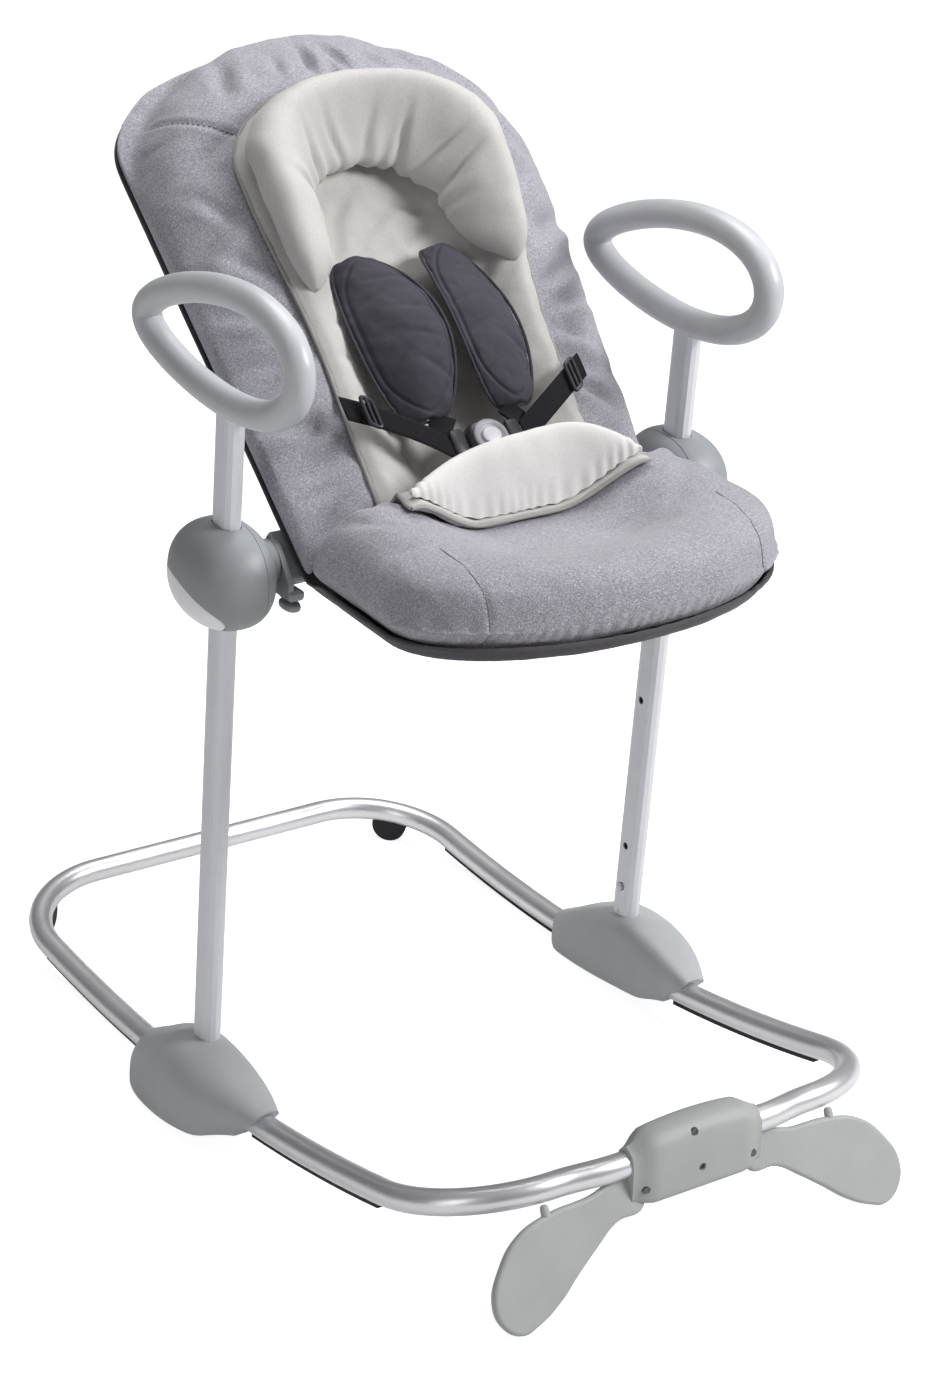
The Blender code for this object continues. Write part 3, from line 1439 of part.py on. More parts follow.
def shoulder_strap(side, tag, frame):
    """The webbing between a shoulder pad and its tongue."""
    s, n = pad_line(0.0)
    start = back_point(side * PAD_X, s - 0.004, n)
    end = buckle_place(side * 0.026, BUCKLE_TALL / 2.0 + 0.012, 0.0)
    line = arc_line(start, end, 0.0, 3, face_out())
    webbing("shoulder_strap_" + tag, line, Vector((1.0, 0.0, 0.0)), frame)


def crotch_strap(frame):
    start = buckle_place(0.0, -BUCKLE_TALL / 2.0 - 0.002, 0.0)
    low = pan_top(0.0, 0.0) + INSERT_LIFT + INSERT_T
    end = back_point(0.0, mitre(low) + 0.004, low + 0.006)
    line = arc_line(start, end, 0.0, 3, face_out())
    webbing("crotch_strap", line, Vector((1.0, 0.0, 0.0)), frame)


def buckle(frame):
    place = Matrix.Translation(buckle_place()) @ Matrix.Rotation(BACK_ANGLE, 4, "X")
    body = block((BUCKLE_W, BUCKLE_TALL, BUCKLE_T), place, 0.005, 2)
    body = place_part(body, "buckle_body", frame, "buckle", 50.0)
    well = rod(BUCKLE_BUTTON_R + RUN, BUCKLE_T, place @ lift(0.0045 + BUCKLE_T / 2.0 - 0.002), 28)
    combine(body, place_cutter(well, frame))
    holder = empty("buckle_button_axis", frame, buckle_place(), BACK_ANGLE)
    low = 0.0045 - 0.002 + BUCKLE_STROKE + 0.0008
    high = BUCKLE_T / 2.0 + 0.0010
    button = rod(BUCKLE_BUTTON_R, high - low, lift((low + high) / 2.0), 24)
    place_part(button, "buckle_button", holder, "white")
    for side, tag in ((-1.0, "left"), (1.0, "right")):
        x = side * (BUCKLE_W / 2.0 + 0.0085)
        tongue_place = Matrix.Translation(buckle_place(x)) @ Matrix.Rotation(BACK_ANGLE, 4, "X")
        tongue = block((0.0155, 0.032, 0.006), tongue_place, 0.002, 2)
        place_part(tongue, "buckle_tongue_" + tag, frame, "buckle", 50.0)


# Assembly

def build_base(root):
    front = base_loop(FRONT_Y, TUBE_JOINT_Y - GAP, -1.0)
    rear = base_loop(REAR_Y, TUBE_JOINT_Y + GAP, 1.0)
    base_tube("base_front_tube", FRONT_Y, TUBE_JOINT_Y - GAP, -1.0, root)
    base_tube("base_rear_tube", REAR_Y, TUBE_JOINT_Y + GAP, 1.0, root)
    front_shape = tube_cutter(front, GAP, root)
    rear_shape = tube_cutter(rear, GAP, root)
    front_end = HUB_STATIONS[0][0] + HUB_FOOT_BACK - 0.003
    rear_end = HUB_STATIONS[-1][0] + 0.002
    for side, tag in ((-1.0, "left"), (1.0, "right")):
        grip_strip("grip_strip_front_" + tag, side, STRIP_FRONT_Y, front_end, root)
        grip_strip("grip_strip_rear_" + tag, side, rear_end, STRIP_REAR_Y, root)
        rear_stop("rear_stop_" + tag, side, root, rear_shape)
        frame = empty("post_frame_" + tag, root, (side * RAIL_X, 0.0, POST_FOOT_Z), POST_LEAN)
        cutters = [front_shape, rear_shape, post_socket(frame), stub_socket(frame)]
        hub("hub_" + tag, side, root, cutters)
        post("post_" + tag, side, frame, ring_cutter(side, frame))
        post_stub("post_stub_" + tag, side, frame)
        snap_button("snap_button_" + tag, side, frame)
        ring("ring_" + tag, side, frame)


def build_carriage(root):
    carriage = empty("carriage_slide", root, post_point(POD_AT), POST_LEAN)
    for side, tag in ((-1.0, "left"), (1.0, "right")):
        pod(side, tag, carriage)


def build_seat(root):
    frame = empty("seat_hinge", root, (0.0, HINGE_Y, HINGE_Z))
    seat_frame(frame)
    cover = under_cover(frame)
    back_cushion(frame)
    leg_cushion(frame)
    insert_pad(frame)
    head_pillow(frame)
    leg_roll(frame)
    for side, tag in ((-1.0, "left"), (1.0, "right")):
        hinge_arm(side, tag, frame)
        arm_bolt(side, tag, frame, cover)
        recline_button(side, tag, frame)
        shoulder_pad(side, tag, frame)
        shoulder_strap(side, tag, frame)
        waist_strap(side, tag, frame)
    crotch_strap(frame)
    buckle(frame)


def centre_on_floor(root):
    """Moves the whole bouncer so that its box is centred over the origin."""
    bpy.context.view_layer.update()
    graph = bpy.context.evaluated_depsgraph_get()
    low = []
    high = []
    for name in ("stop_pedal_front", "base_rear_tube"):
        obj = bpy.data.objects[name].evaluated_get(graph)
        ys = [(obj.matrix_world @ v.co).y for v in obj.data.vertices]
        low.append(min(ys))
        high.append(max(ys))
    root.location.y = -(min(low) + max(high)) / 2.0


def main():
    root = empty("bouncer", None, (0.0, 0.0, 0.0))
    build_base(root)
    front_mid = rail_point(0.0, FRONT_Y - FRONT_BOW)
    pedal(empty("pedal_hinge", root, front_mid))
    build_carriage(root)
    build_seat(root)
    centre_on_floor(root)


main()
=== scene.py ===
"""Looks for the baby bouncer: fabric, webbing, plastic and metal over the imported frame."""
from math import copysign, cos, hypot, pi, radians, sin, sqrt, tan, tau

import bmesh
import bpy
import numpy as np
from mathutils import Matrix, Vector


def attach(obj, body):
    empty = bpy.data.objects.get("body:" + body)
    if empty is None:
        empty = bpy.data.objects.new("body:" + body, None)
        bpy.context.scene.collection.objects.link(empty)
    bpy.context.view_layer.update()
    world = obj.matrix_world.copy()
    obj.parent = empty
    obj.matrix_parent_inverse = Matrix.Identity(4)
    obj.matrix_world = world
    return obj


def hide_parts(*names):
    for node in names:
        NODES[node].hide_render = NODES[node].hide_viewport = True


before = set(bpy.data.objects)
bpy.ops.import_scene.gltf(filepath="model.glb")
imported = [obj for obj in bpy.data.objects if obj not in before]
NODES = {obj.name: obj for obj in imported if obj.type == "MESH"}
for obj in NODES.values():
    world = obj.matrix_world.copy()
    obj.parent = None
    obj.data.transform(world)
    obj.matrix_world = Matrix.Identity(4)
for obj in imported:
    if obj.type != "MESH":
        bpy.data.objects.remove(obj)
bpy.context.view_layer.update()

SIDES = ((-1.0, "left"), (1.0, "right"))

# Sizes in metres: those that repeat the frame's, and finer ones used only here
SHIFT_Y = 0.015073
TUBE_R = 0.0125
RAIL_X = 0.252
FRONT_Y = -0.436
REAR_Y = 0.446
CORNER_R = 0.11
ROCKER_R = 1.94
ROCKER_LOW_Y = 0.155
FRONT_BOW = 0.009
STRAIGHT_HALF = 0.085
TUBE_JOINT_Y = 0.006
TUBE_GAP = 0.0004
STRIP_DEPTH = 0.0042
POST_LEAN = radians(4.85)
POST_FOOT_Z = 0.0683
POST_LONG = 0.032
POST_THICK = 0.02
POST_BORE_R = 0.0108
RING_R = 0.0141
RING_HALF_LONG = 0.1364
RING_HALF_TALL = 0.0496
RING_EGG = 0.27
RING_TILT = radians(3.3)
RING_Y = -0.0391
RING_Z = 0.7939
POD_AT = 0.5135
POD_OUT = 0.048
POD_IN = 0.04
POD_LONG = 0.0585
POD_TALL = 0.05
POD_FULL = 0.9
POD_SPLIT = 0.0135
BUTTON_LONG = 0.09
BUTTON_TALL = 0.051
BUTTON_AIM = radians(-31.0)
BUTTON_TWIST = radians(-20.0)
BUTTON_FLOOR = 0.0265
BUTTON_RUN = 0.0045
BUTTON_SIDE = 0.0007
BOSS_OUT = 0.0424
TOOL_REACH = 0.1
PADDLE_ROUND = 0.0038
PEDAL_HALF = 0.0725
NUB_X = 0.161
NUB_Y = 0.0185
NUB_SHAPE = ((-0.006, 0.0042), (0.003, 0.0042), (0.0052, 0.0036), (0.0062, 0.0022),
             (0.0065, 0.0006))
SCREW_HOLES = ((-0.061, -0.0215), (0.061, -0.0215), (0.0, -0.015), (-0.01, 0.024))
HINGE_Y = -0.051
HINGE_Z = 0.585
CAP_X = 0.20095
CAP_Y = -0.072
CAP_BELOW_HIP = 0.0104
HUB_FOOT_BACK = 0.03
HUB_STATIONS = (
    (-0.122, 0.056, 0.023, 0.016),
    (-0.098, 0.0665, 0.036, 0.0215),
    (-0.062, 0.0765, 0.049, 0.025),
    (-0.02, 0.082, 0.056, 0.0265),
    (0.022, 0.0785, 0.056, 0.028),
    (0.06, 0.0625, 0.051, 0.028),
    (0.09, 0.0455, 0.039, 0.026),
    (0.108, 0.036, 0.02, 0.018),
)
HIP_Y = -0.089 + SHIFT_Y
HIP_Z = 0.566
SLOPE = sqrt(0.5)
BACK_LONG = 0.551
BACK_HALF_W = 0.214
HIP_HALF_W = 0.194
HEAD_ROUND = 0.105
PAN_LONG = 0.258
PAN_HALF_W = 0.203
PAN_ROUND = 0.11
COVER_T = 0.003
CUSHION_LIFT = 0.0038
CUSHION_OVER_FRAME = 0.0195
HEM_WIDE = 0.014
BACK_DISH = (0.001, 0.1)
PAN_DISH = (0.012, 0.035)
BACK_CROWN_HEAD = 0.077
BACK_CROWN_HIP = 0.05
BACK_HOLLOW = 0.024
PAN_CROWN_HIP = 0.088
PAN_CROWN_FRONT = 0.074
PAN_HOLLOW = 0.046
EDGE_BACK = 0.0055
EDGE_PAN = 0.012
SWELL_PAN = 0.009
LEG_SEAM_X = 0.148
GATHER = 0.013
SOFT_GAP = 0.0036
INSERT_T = 0.006
INSERT_LIFT = 0.0072
INSERT_HALF_W = 0.122
INSERT_HEAD_HALF_W = 0.14
INSERT_HEM_HALF_W = 0.131
INSERT_TOP = 0.468
INSERT_ROUND = 0.085
INSERT_WAIST = 0.155
PILLOW_RISE = 0.03
PILLOW_LIFT = 0.0068
PILLOW_IN_X = 0.067
PILLOW_IN_S = 0.333
PILLOW_IN_RISE = 0.057
PILLOW_OUT_X = 0.136
PILLOW_OUT_S = 0.383
PILLOW_OUT_RISE = 0.081
PILLOW_TAIL = 0.25
PILLOW_CREASES = ((2.8, 0.0042), (2.32, 0.0036), (1.9, 0.0044), (1.45, 0.0026),
                  (1.02, 0.004), (0.6, 0.004), (0.24, 0.003))
ROLL_HALF_W = 0.126
ROLL_BACK = 0.004
ROLL_FRONT = 0.034
ROLL_CREST_U = 0.42
ROLL_CREST_N = 0.128
ROLL_LEAN = 0.1
INSERT_LIP = 0.004
PAD_REACH = 0.0425
PAD_INWARD = 0.003
PAD_ROUND = 0.42
PAD_T = 0.022
PAD_X = 0.05
PAD_TOP = 0.29
PAD_LOW = 0.11
PAD_LIFT = 0.057
WAIST_X = 0.132
WAIST_S = 0.135
STRAP_T = 0.0022
STRAP_W = 0.025
SHOULDER_W = 0.024
BUCKLE_AT = 0.078
BUCKLE_LIFT = 0.079
BUCKLE_W = 0.044
BUCKLE_TALL = 0.04
BUCKLE_T = 0.017
BUCKLE_BUTTON_R = 0.01

BACK_TURN = radians(-45.0)


# Small helpers

def ease(t):
    t = min(max(t, 0.0), 1.0)
    return t * t * (3.0 - 2.0 * t)


def between(a, b, t):
    return a + (b - a) * t


def bent(value, power):
    """A number raised to a power, its sign kept."""
    return copysign(abs(value) ** power, value)


def new_object(name, mesh):
    obj = bpy.data.objects.new(name, mesh)
    bpy.context.scene.collection.objects.link(obj)
    return obj


def from_bmesh(name, bm, outward=True):
    if outward:
        bmesh.ops.recalc_face_normals(bm, faces=bm.faces)
    mesh = bpy.data.meshes.new(name)
    bm.to_mesh(mesh)
    bm.free()
    mesh.shade_smooth()
    return new_object(name, mesh)


def evaluated(obj):
    """The object's shape after its modifiers, as a smooth mesh."""
    bpy.context.view_layer.update()
    graph = bpy.context.evaluated_depsgraph_get()
    mesh = bpy.data.meshes.new_from_object(obj.evaluated_get(graph))
    mesh.shade_smooth()
    return mesh


def applied(obj):
    mesh = evaluated(obj)
    obj.modifiers.clear()
    obj.data = mesh
    return obj


def subdivided(obj):
    obj.modifiers.new("subdivision", "SUBSURF").levels = 1
    return applied(obj)


def from_curve(name, data):
    """A mesh object in the shape of a curve."""
    obj = new_object(name, data)
    mesh = evaluated(obj)
    bpy.data.objects.remove(obj)
    return new_object(name, mesh)


def points_of(obj):
    co = np.empty(len(obj.data.vertices) * 3)
    obj.data.vertices.foreach_get("co", co)
    return co.reshape(-1, 3)


def normals_of(obj):
    out = np.empty(len(obj.data.vertices) * 3)
    obj.data.vertex_normals.foreach_get("vector", out)
    return out.reshape(-1, 3)


def set_points(obj, co):
    obj.data.vertices.foreach_set("co", np.ascontiguousarray(co, dtype=np.float64).ravel())
    obj.data.update()


def pushed(obj, co, move):
    """Moves the points along the mesh's normals."""
    set_points(obj, co + normals_of(obj) * move[:, None])


def slab(name, rows):
    """A closed body from rows of (upper point, lower point)."""
    bm = bmesh.new()
    upper, lower = ([[bm.verts.new(both[k]) for both in row] for row in rows] for k in (0, 1))
    last = len(rows) - 1
    count = len(rows[0])
    for j in range(last):
        for i in range(count - 1):
            bm.faces.new((upper[j][i], upper[j][i + 1], upper[j + 1][i + 1], upper[j + 1][i]))
            bm.faces.new((lower[j][i], lower[j + 1][i], lower[j + 1][i + 1], lower[j][i + 1]))
        for i in (0, count - 1):
            bm.faces.new((upper[j][i], upper[j + 1][i], lower[j + 1][i], lower[j][i]))
    for j in (0, last):
        for i in range(count - 1):
            bm.faces.new((upper[j][i], lower[j][i], lower[j][i + 1], upper[j][i + 1]))
    return from_bmesh(name, bm)


def loft(name, loops):
    """A body through loops of equal counts."""
    bm = bmesh.new()
    loops = [[bm.verts.new(p) for p in loop] for loop in loops]
    count = len(loops[0])
    for near, far in zip(loops, loops[1:]):
        for i in range(count):
            k = (i + 1) % count
            bm.faces.new((near[i], near[k], far[k], far[i]))
    bm.faces.new(loops[0])
    bm.faces.new(loops[-1])
    return from_bmesh(name, bm)


def rope(name, points, radius, cyclic, sides):
    """A round bar along a line of points."""
    data = bpy.data.curves.new(name, "CURVE")
    data.dimensions = "3D"
    data.bevel_depth = radius
    data.bevel_resolution = sides
    data.use_fill_caps = not cyclic
    spline = data.splines.new("POLY")
    spline.points.add(len(points) - 1)
    for knot, p in zip(spline.points, points):
        knot.co = (*p, 1.0)
    spline.use_cyclic_u = cyclic
    return from_curve(name, data)


def angles(count):
    return [tau * k / count for k in range(count)]


def oval(radius_x, radius_y, z, count, place, power=1.0):
    """Points round a superellipse, at a height in the frame of a matrix."""
    return [place @ Vector((radius_x * bent(cos(a), power),
                            radius_y * bent(sin(a), power), z)) for a in angles(count)]


def axes(x, y, z):
    """The matrix with these three directions as its columns."""
    return Matrix((x, y, z)).transposed()


def rounded_line(points, steps):
    """More points on a smooth line through the given ones."""
    padded = [points[0] * 2.0 - points[1]] + list(points) + [points[-1] * 2.0 - points[-2]]
    out = []
    for a, b, c, d in zip(padded, padded[1:], padded[2:], padded[3:]):
        for k in range(steps):
            t = k / steps
            out.append(0.5 * ((2.0 * b) + (c - a) * t + (2.0 * a - 5.0 * b + 4.0 * c - d) * t * t
                              + (3.0 * b - a - 3.0 * c + d) * t ** 3))
    out.append(points[-1].copy())
    return out


def line_distance(px, py, line):
    best = np.full(px.shape, 1e9)
    for (ax, ay), (bx, by) in zip(line, line[1:]):
        dx = bx - ax
        dy = by - ay
        t = np.clip(((px - ax) * dx + (py - ay) * dy) / (dx * dx + dy * dy), 0.0, 1.0)
        best = np.minimum(best, np.hypot(px - ax - t * dx, py - ay - t * dy))
    return best


def ripple(x, y, size, seed):
    """A soft, repeatable unevenness between about -1 and 1."""
    total = np.zeros_like(x)
    for k in range(5):
        a = seed * 1.7 + k * 2.399963
        f = tau / size * (1.0 + 0.37 * k)
        along = x * cos(a) + y * sin(a)
        across = x * sin(a) - y * cos(a)
        wander = 1.5 * np.sin(across * f * 0.5 + k)
        total += np.sin(along * f + seed * 3.1 + k * 1.3 + wander) / (1.0 + 0.6 * k)
    return total / 2.4


def bump_at(px, py, x, y, long, wide, turn):
    """A single long soft fold: 1 on its middle line, 0 away from it."""
    dx = px - x
    dy = py - y
    u = dx * cos(turn) + dy * sin(turn)
    v = -dx * sin(turn) + dy * cos(turn)
    return np.exp(-(u / long) ** 2) * np.exp(-(v / wide) ** 2)


def crease(px, py, x, y, turn, valley, ridge, step):
    """A fold with a ridge beside it, each as (height, length, width)."""
    low, low_long, low_wide = valley
    high, high_long, high_wide = ridge
    return (high * bump_at(px, py, x + step * sin(turn), y - step * cos(turn),
                           high_long, high_wide, turn)
            - low * bump_at(px, py, x, y, low_long, low_wide, turn))


# Seat coordinates

def back_point(x, s, n):
    return Vector((x, HIP_Y + (s - n) * SLOPE, HIP_Z + (s + n) * SLOPE))


def pan_point(x, p, n):
    return Vector((x, HIP_Y - p, HIP_Z + n))


def back_coords(co):
    y = co[:, 1] - HIP_Y
    z = co[:, 2] - HIP_Z
    return co[:, 0], (y + z) * SLOPE, (z - y) * SLOPE


def pan_coords(co):
    return co[:, 0], HIP_Y - co[:, 1], co[:, 2] - HIP_Z


def mitre(n):
    return n * tan(radians(22.5))


def layer(point, x, along, high, low, start):
    """Upper and lower point of a layer, mitred towards the hip by a share."""
    return tuple(point(x, along + mitre(n) * start, n) for n in (high, low))


def widening(end_half_w, straight):
    """Half widths from the hip to the panel's rounded end."""
    return lambda along: between(HIP_HALF_W, end_half_w, min(max(along / straight, 0.0), 1.0))


class Panel:
    """An outline with one rounded end: (x, along) in the panel's own coordinates."""

    def __init__(self, point, length, rounding, half_w, dish=None):
        self.point = point
        self.length = length
        self.rounding = rounding
        self.straight = length - rounding
        self.half_w = half_w
        self.dish = dish

    def plan(self, u, v, inset=0.0):
        """The place at a share u of the width and v of the length."""
        share = self.straight / self.length
        if v <= share:
            along = v * self.length
            return u * (self.half_w(along) - inset), along
        w = (v - share) / (1.0 - share)
        x = u * sqrt(1.0 - 0.5 * w * w) * (self.half_w(self.straight) - inset)
        far = w * sqrt(1.0 - 0.5 * u * u) * (self.rounding - inset)
        return x, self.straight + far

    def inward(self, x, along, wider=1.0):
        """0 at the outline and 1 at the middle line, as a share."""
        rounding = self.rounding * wider
        straight = self.length - rounding
        across = min(abs(x) / self.half_w(along), 1.0)
        if along <= straight:
            return 1.0 - across
        up = min((along - straight) / rounding, 1.0)
        return max(0.0, 1.0 - hypot(across, up))

    def hem(self, x, along):
        """The distance to the outline."""
        if along <= self.straight:
            return self.half_w(along) - abs(x)
        reach = 1.0 - self.inward(x, along)
        from_middle = hypot(x, along - self.straight)
        return from_middle / max(reach, 0.1) - from_middle + max(0.1 - reach, 0.0)

    def floor(self, x, along):
        """The height of the cover's lower face."""
        return self.dish[0] * (1.0 - ease(self.inward(x, along) / self.dish[1]))

    def cushion_floor(self, x, along):
        low = self.floor(x, along) + COVER_T + CUSHION_LIFT
        return between(low, CUSHION_OVER_FRAME, ease(self.hem(x, along) / HEM_WIDE))


BACK = Panel(back_point, BACK_LONG, HEAD_ROUND, widening(BACK_HALF_W, BACK_LONG - HEAD_ROUND),
             BACK_DISH)
PAN = Panel(pan_point, PAN_LONG, PAN_ROUND, widening(PAN_HALF_W, PAN_LONG - PAN_ROUND), PAN_DISH)


def back_top(x, s):
    t = BACK.inward(x, s, 1.9)
    crown = between(BACK_CROWN_HIP, BACK_CROWN_HEAD, ease(s / (BACK_LONG * 0.75)))
    crown *= 1.0 - 0.22 * ease((s - 0.8 * BACK_LONG) / (0.2 * BACK_LONG))
    edge = BACK_DISH[0] + COVER_T + CUSHION_LIFT + EDGE_BACK
    q = min(t / 0.4, 1.0)
    full = sqrt(1.0 - (1.0 - q) ** 2.0) ** 1.15
    rise = between(sin(0.5 * pi * q), full, between(0.45, 1.0, ease(s / 0.3)))
    dip = ease((t - 0.42) / 0.36)
    return between(edge, crown, rise) - (crown - BACK_HOLLOW) * dip


def pan_top(x, p):
    t = PAN.inward(x, p, 1.2)
    crown = between(PAN_CROWN_HIP, PAN_CROWN_FRONT, ease(p / PAN_LONG))
    edge = PAN_DISH[0] + COVER_T + CUSHION_LIFT + EDGE_PAN
    rise = (1.0 - (1.0 - min(t / 0.27, 1.0)) ** 2.6) ** (1.0 / 2.6)
    dip = ease((t - 0.3) / 0.5) * (1.0 - 0.55 * ease((p - 0.1) / 0.1))
    return between(edge, crown, rise) - (crown - PAN_HOLLOW) * dip


def spread(count, tight=0.55):
    """Marks from -1 to 1, closer together near both ends."""
    even = [2.0 * k / count - 1.0 for k in range(count + 1)]
    return [between(u, sin(0.5 * pi * u), tight) for u in even]


# Materials

class Nodes:
    """A node tree under construction."""

    def __init__(self, tree):
        self.tree = tree

    def feed(self, node, sockets):
        """Gives sockets numbers, colours, vectors or the outputs of other nodes."""
        for name, value in sockets.items():
            socket = node.inputs[name.replace("_", " ") if isinstance(name, str) else name]
            if isinstance(value, (int, float)):
                socket.default_value = value
            elif isinstance(value, tuple):
                socket.default_value = (*value, 1.0) if socket.type == "RGBA" else value
            else:
                self.tree.links.new(value, socket)

    def add(self, kind, **sockets):
        """A new node; an underscore in a socket's name stands for a space."""
        node = self.tree.nodes.new("ShaderNode" + kind)
        self.feed(node, sockets)
        return node

    def plus(self, a, b, operation="ADD"):
        node = self.add("Math")
        node.operation = operation
        self.feed(node, {0: a, 1: b})
        return node.outputs["Value"]

    def times(self, a, b):
        return self.plus(a, b, "MULTIPLY")

    def ranged(self, value, low, high, to_low=0.0, to_high=1.0):
        node = self.add("MapRange", Value=value, From_Min=low, From_Max=high, To_Min=to_low,
                        To_Max=to_high)
        return node.outputs["Result"]

    def colours(self, value, stops):
        node = self.add("ValToRGB", Fac=value)
        elements = node.color_ramp.elements
        while len(elements) < len(stops):
            elements.new(0.5)
        for element, (at, colour) in zip(elements, stops):
            element.position = at
            element.color = (*colour, 1.0)
        return node.outputs["Color"]


class Shade(Nodes):
    """A node material under construction; lengths are in metres of the object."""

    def __init__(self, name, turn=0.0):
        self.mat = bpy.data.materials.new(name)
        self.mat.use_nodes = True
        super().__init__(self.mat.node_tree)
        self.tree.nodes.clear()
        self.bsdf = self.add("BsdfPrincipled")
        self.add("OutputMaterial", Surface=self.bsdf.outputs["BSDF"])
        self.place = self.add("TexCoord").outputs["Object"]
        if turn:
            self.place = self.mapped(self.place, (1.0, 1.0, 1.0), turn)

    def mapped(self, vector, scale, turn=0.0):
        node = self.add("Mapping", Vector=vector, Scale=scale, Rotation=(turn, 0.0, 0.0))
        return node.outputs["Vector"]

    def noise(self, scale, detail=2.0, rough=0.5, stretch=(1.0, 1.0, 1.0)):
        place = self.mapped(self.place, stretch)
        node = self.add("TexNoise", Vector=place, Scale=scale, Detail=detail, Roughness=rough)
        return node.outputs["Fac"]

    def ribs(self, scale, direction):
        """Even bands over the UVs."""
        vector = self.mapped(self.add("UVMap").outputs["UV"], scale)
        node = self.add("TexWave", Vector=vector, Scale=1.0, Distortion=0.0)
        node.bands_direction = direction
        return node.outputs["Fac"]

    def mixed(self, factor, a, b):
        node = self.add("Mix")
        node.data_type = "RGBA"
        self.feed(node, {0: factor, 6: a, 7: b})
        return node.outputs[2]

    def bump(self, height, depth, strength):
        node = self.add("Bump", Height=height, Distance=depth, Strength=strength)
        self.use(Normal=node.outputs["Normal"])

    def use(self, **sockets):
        self.feed(self.bsdf, sockets)


def tinted(colour, k):
    return tuple(min(c * k, 1.0) for c in colour)


def melange(name, colour, turn):
    """Woven cloth of mixed light and dark yarns."""
    shade = Shade(name, turn)
    warp = shade.noise(1.0, 3.0, 0.6, (2000.0, 330.0, 700.0))
    weft = shade.noise(1.0, 3.0, 0.6, (330.0, 2000.0, 700.0))
    cloud = shade.noise(14.0, 2.0, 0.5)
    yarn = shade.times(shade.plus(warp, weft), 0.5)
    tone = shade.colours(shade.ranged(yarn, 0.36, 0.64),
                         [(0.0, tinted(colour, 0.46)), (0.35, tinted(colour, 0.86)),
                          (0.6, tinted(colour, 1.08)), (1.0, tinted(colour, 1.9))])
    cloud = shade.ranged(cloud, 0.3, 0.7, 0.0, 0.1)
    shade.use(Base_Color=shade.mixed(cloud, tone, tinted(colour, 0.78)), Sheen_Weight=0.25,
              Roughness=shade.ranged(yarn, 0.3, 0.7, 0.8, 0.95), Sheen_Roughness=0.45)
    shade.bump(yarn, 0.0008, 0.9)
    return shade.mat


def jersey(name, colour, turn, depth=0.00035, fold=0.0, sheen=0.18):
    """Smooth knitted cloth with a faint grain."""
    shade = Shade(name, turn)
    knit = shade.noise(1.0, 2.0, 0.6, (1100.0, 420.0, 800.0))
    cloud = shade.noise(22.0, 3.0, 0.55)
    tone = shade.mixed(shade.ranged(knit, 0.3, 0.7), tinted(colour, 0.9), tinted(colour, 1.06))
    worn = shade.ranged(cloud, 0.35, 0.7, 0.0, 0.35)
    shade.use(Base_Color=shade.mixed(worn, tone, tinted(colour, 0.9)), Sheen_Weight=sheen,
              Roughness=shade.ranged(cloud, 0.3, 0.7, 0.7, 0.86), Sheen_Roughness=0.4,
              Specular_IOR_Level=0.3)
    height = knit
    if fold:
        height = shade.plus(knit, shade.times(shade.noise(60.0, 3.0, 0.6), fold))
    shade.bump(height, depth, 0.8)
    return shade.mat


def webbing_cloth(name, colour):
    """Ribbed webbing, its ribs across the strap, from its UVs in metres."""
    shade = Shade(name)
    ribs = shade.ribs((0.0, 210.0, 1.0), "Y")
    rows = shade.ribs((120.0, 0.0, 1.0), "X")
    weave = shade.plus(shade.times(ribs, 0.7), shade.times(rows, 0.3))
    fuzz = shade.noise(900.0, 2.0, 0.6)
    shade.use(Base_Color=shade.mixed(weave, tinted(colour, 0.45), tinted(colour, 1.7)),
              Roughness=shade.ranged(fuzz, 0.3, 0.7, 0.55, 0.8), Specular_IOR_Level=0.22)
    shade.bump(shade.plus(weave, shade.times(fuzz, 0.25)), 0.0006, 0.9)
    return shade.mat


def moulded(name, colour, rough, grain=0.00006, size=1600.0, coat=0.0):
    """Moulded plastic with a fine spark-eroded grain and slightly uneven gloss."""
    shade = Shade(name)
    fine = shade.noise(size, 2.0, 0.6)
    cloud = shade.noise(26.0, 3.0, 0.55)
    tone = shade.mixed(shade.ranged(cloud, 0.35, 0.7), tinted(colour, 0.965),
                       tinted(colour, 1.035))
    speck = shade.ranged(fine, 0.45, 0.75, 0.0, 0.12)
    shade.use(Base_Color=shade.mixed(speck, tone, tinted(colour, 1.15)), Coat_Weight=coat,
              Roughness=shade.ranged(cloud, 0.3, 0.7, rough - 0.05, rough + 0.06))
    shade.bump(fine, grain, 0.7)
    return shade.mat


def brushed(name, colour, rough, metal, stretch):
    """Drawn and anodised metal: fine lines along the tube, faint clouds in its gloss."""
    shade = Shade(name)
    lines = shade.noise(1.0, 2.0, 0.5, stretch)
    cloud = shade.noise(18.0, 2.0, 0.5)
    tone = shade.mixed(shade.ranged(cloud, 0.3, 0.75), tinted(colour, 0.97), tinted(colour, 1.03))
    gloss = shade.plus(shade.ranged(lines, 0.3, 0.7, -0.02, 0.02),
                       shade.ranged(cloud, 0.3, 0.7, rough - 0.03, rough + 0.04))
    shade.use(Base_Color=tone, Metallic=metal, Roughness=gloss)
    shade.bump(lines, 0.000006, 0.3)
    return shade.mat


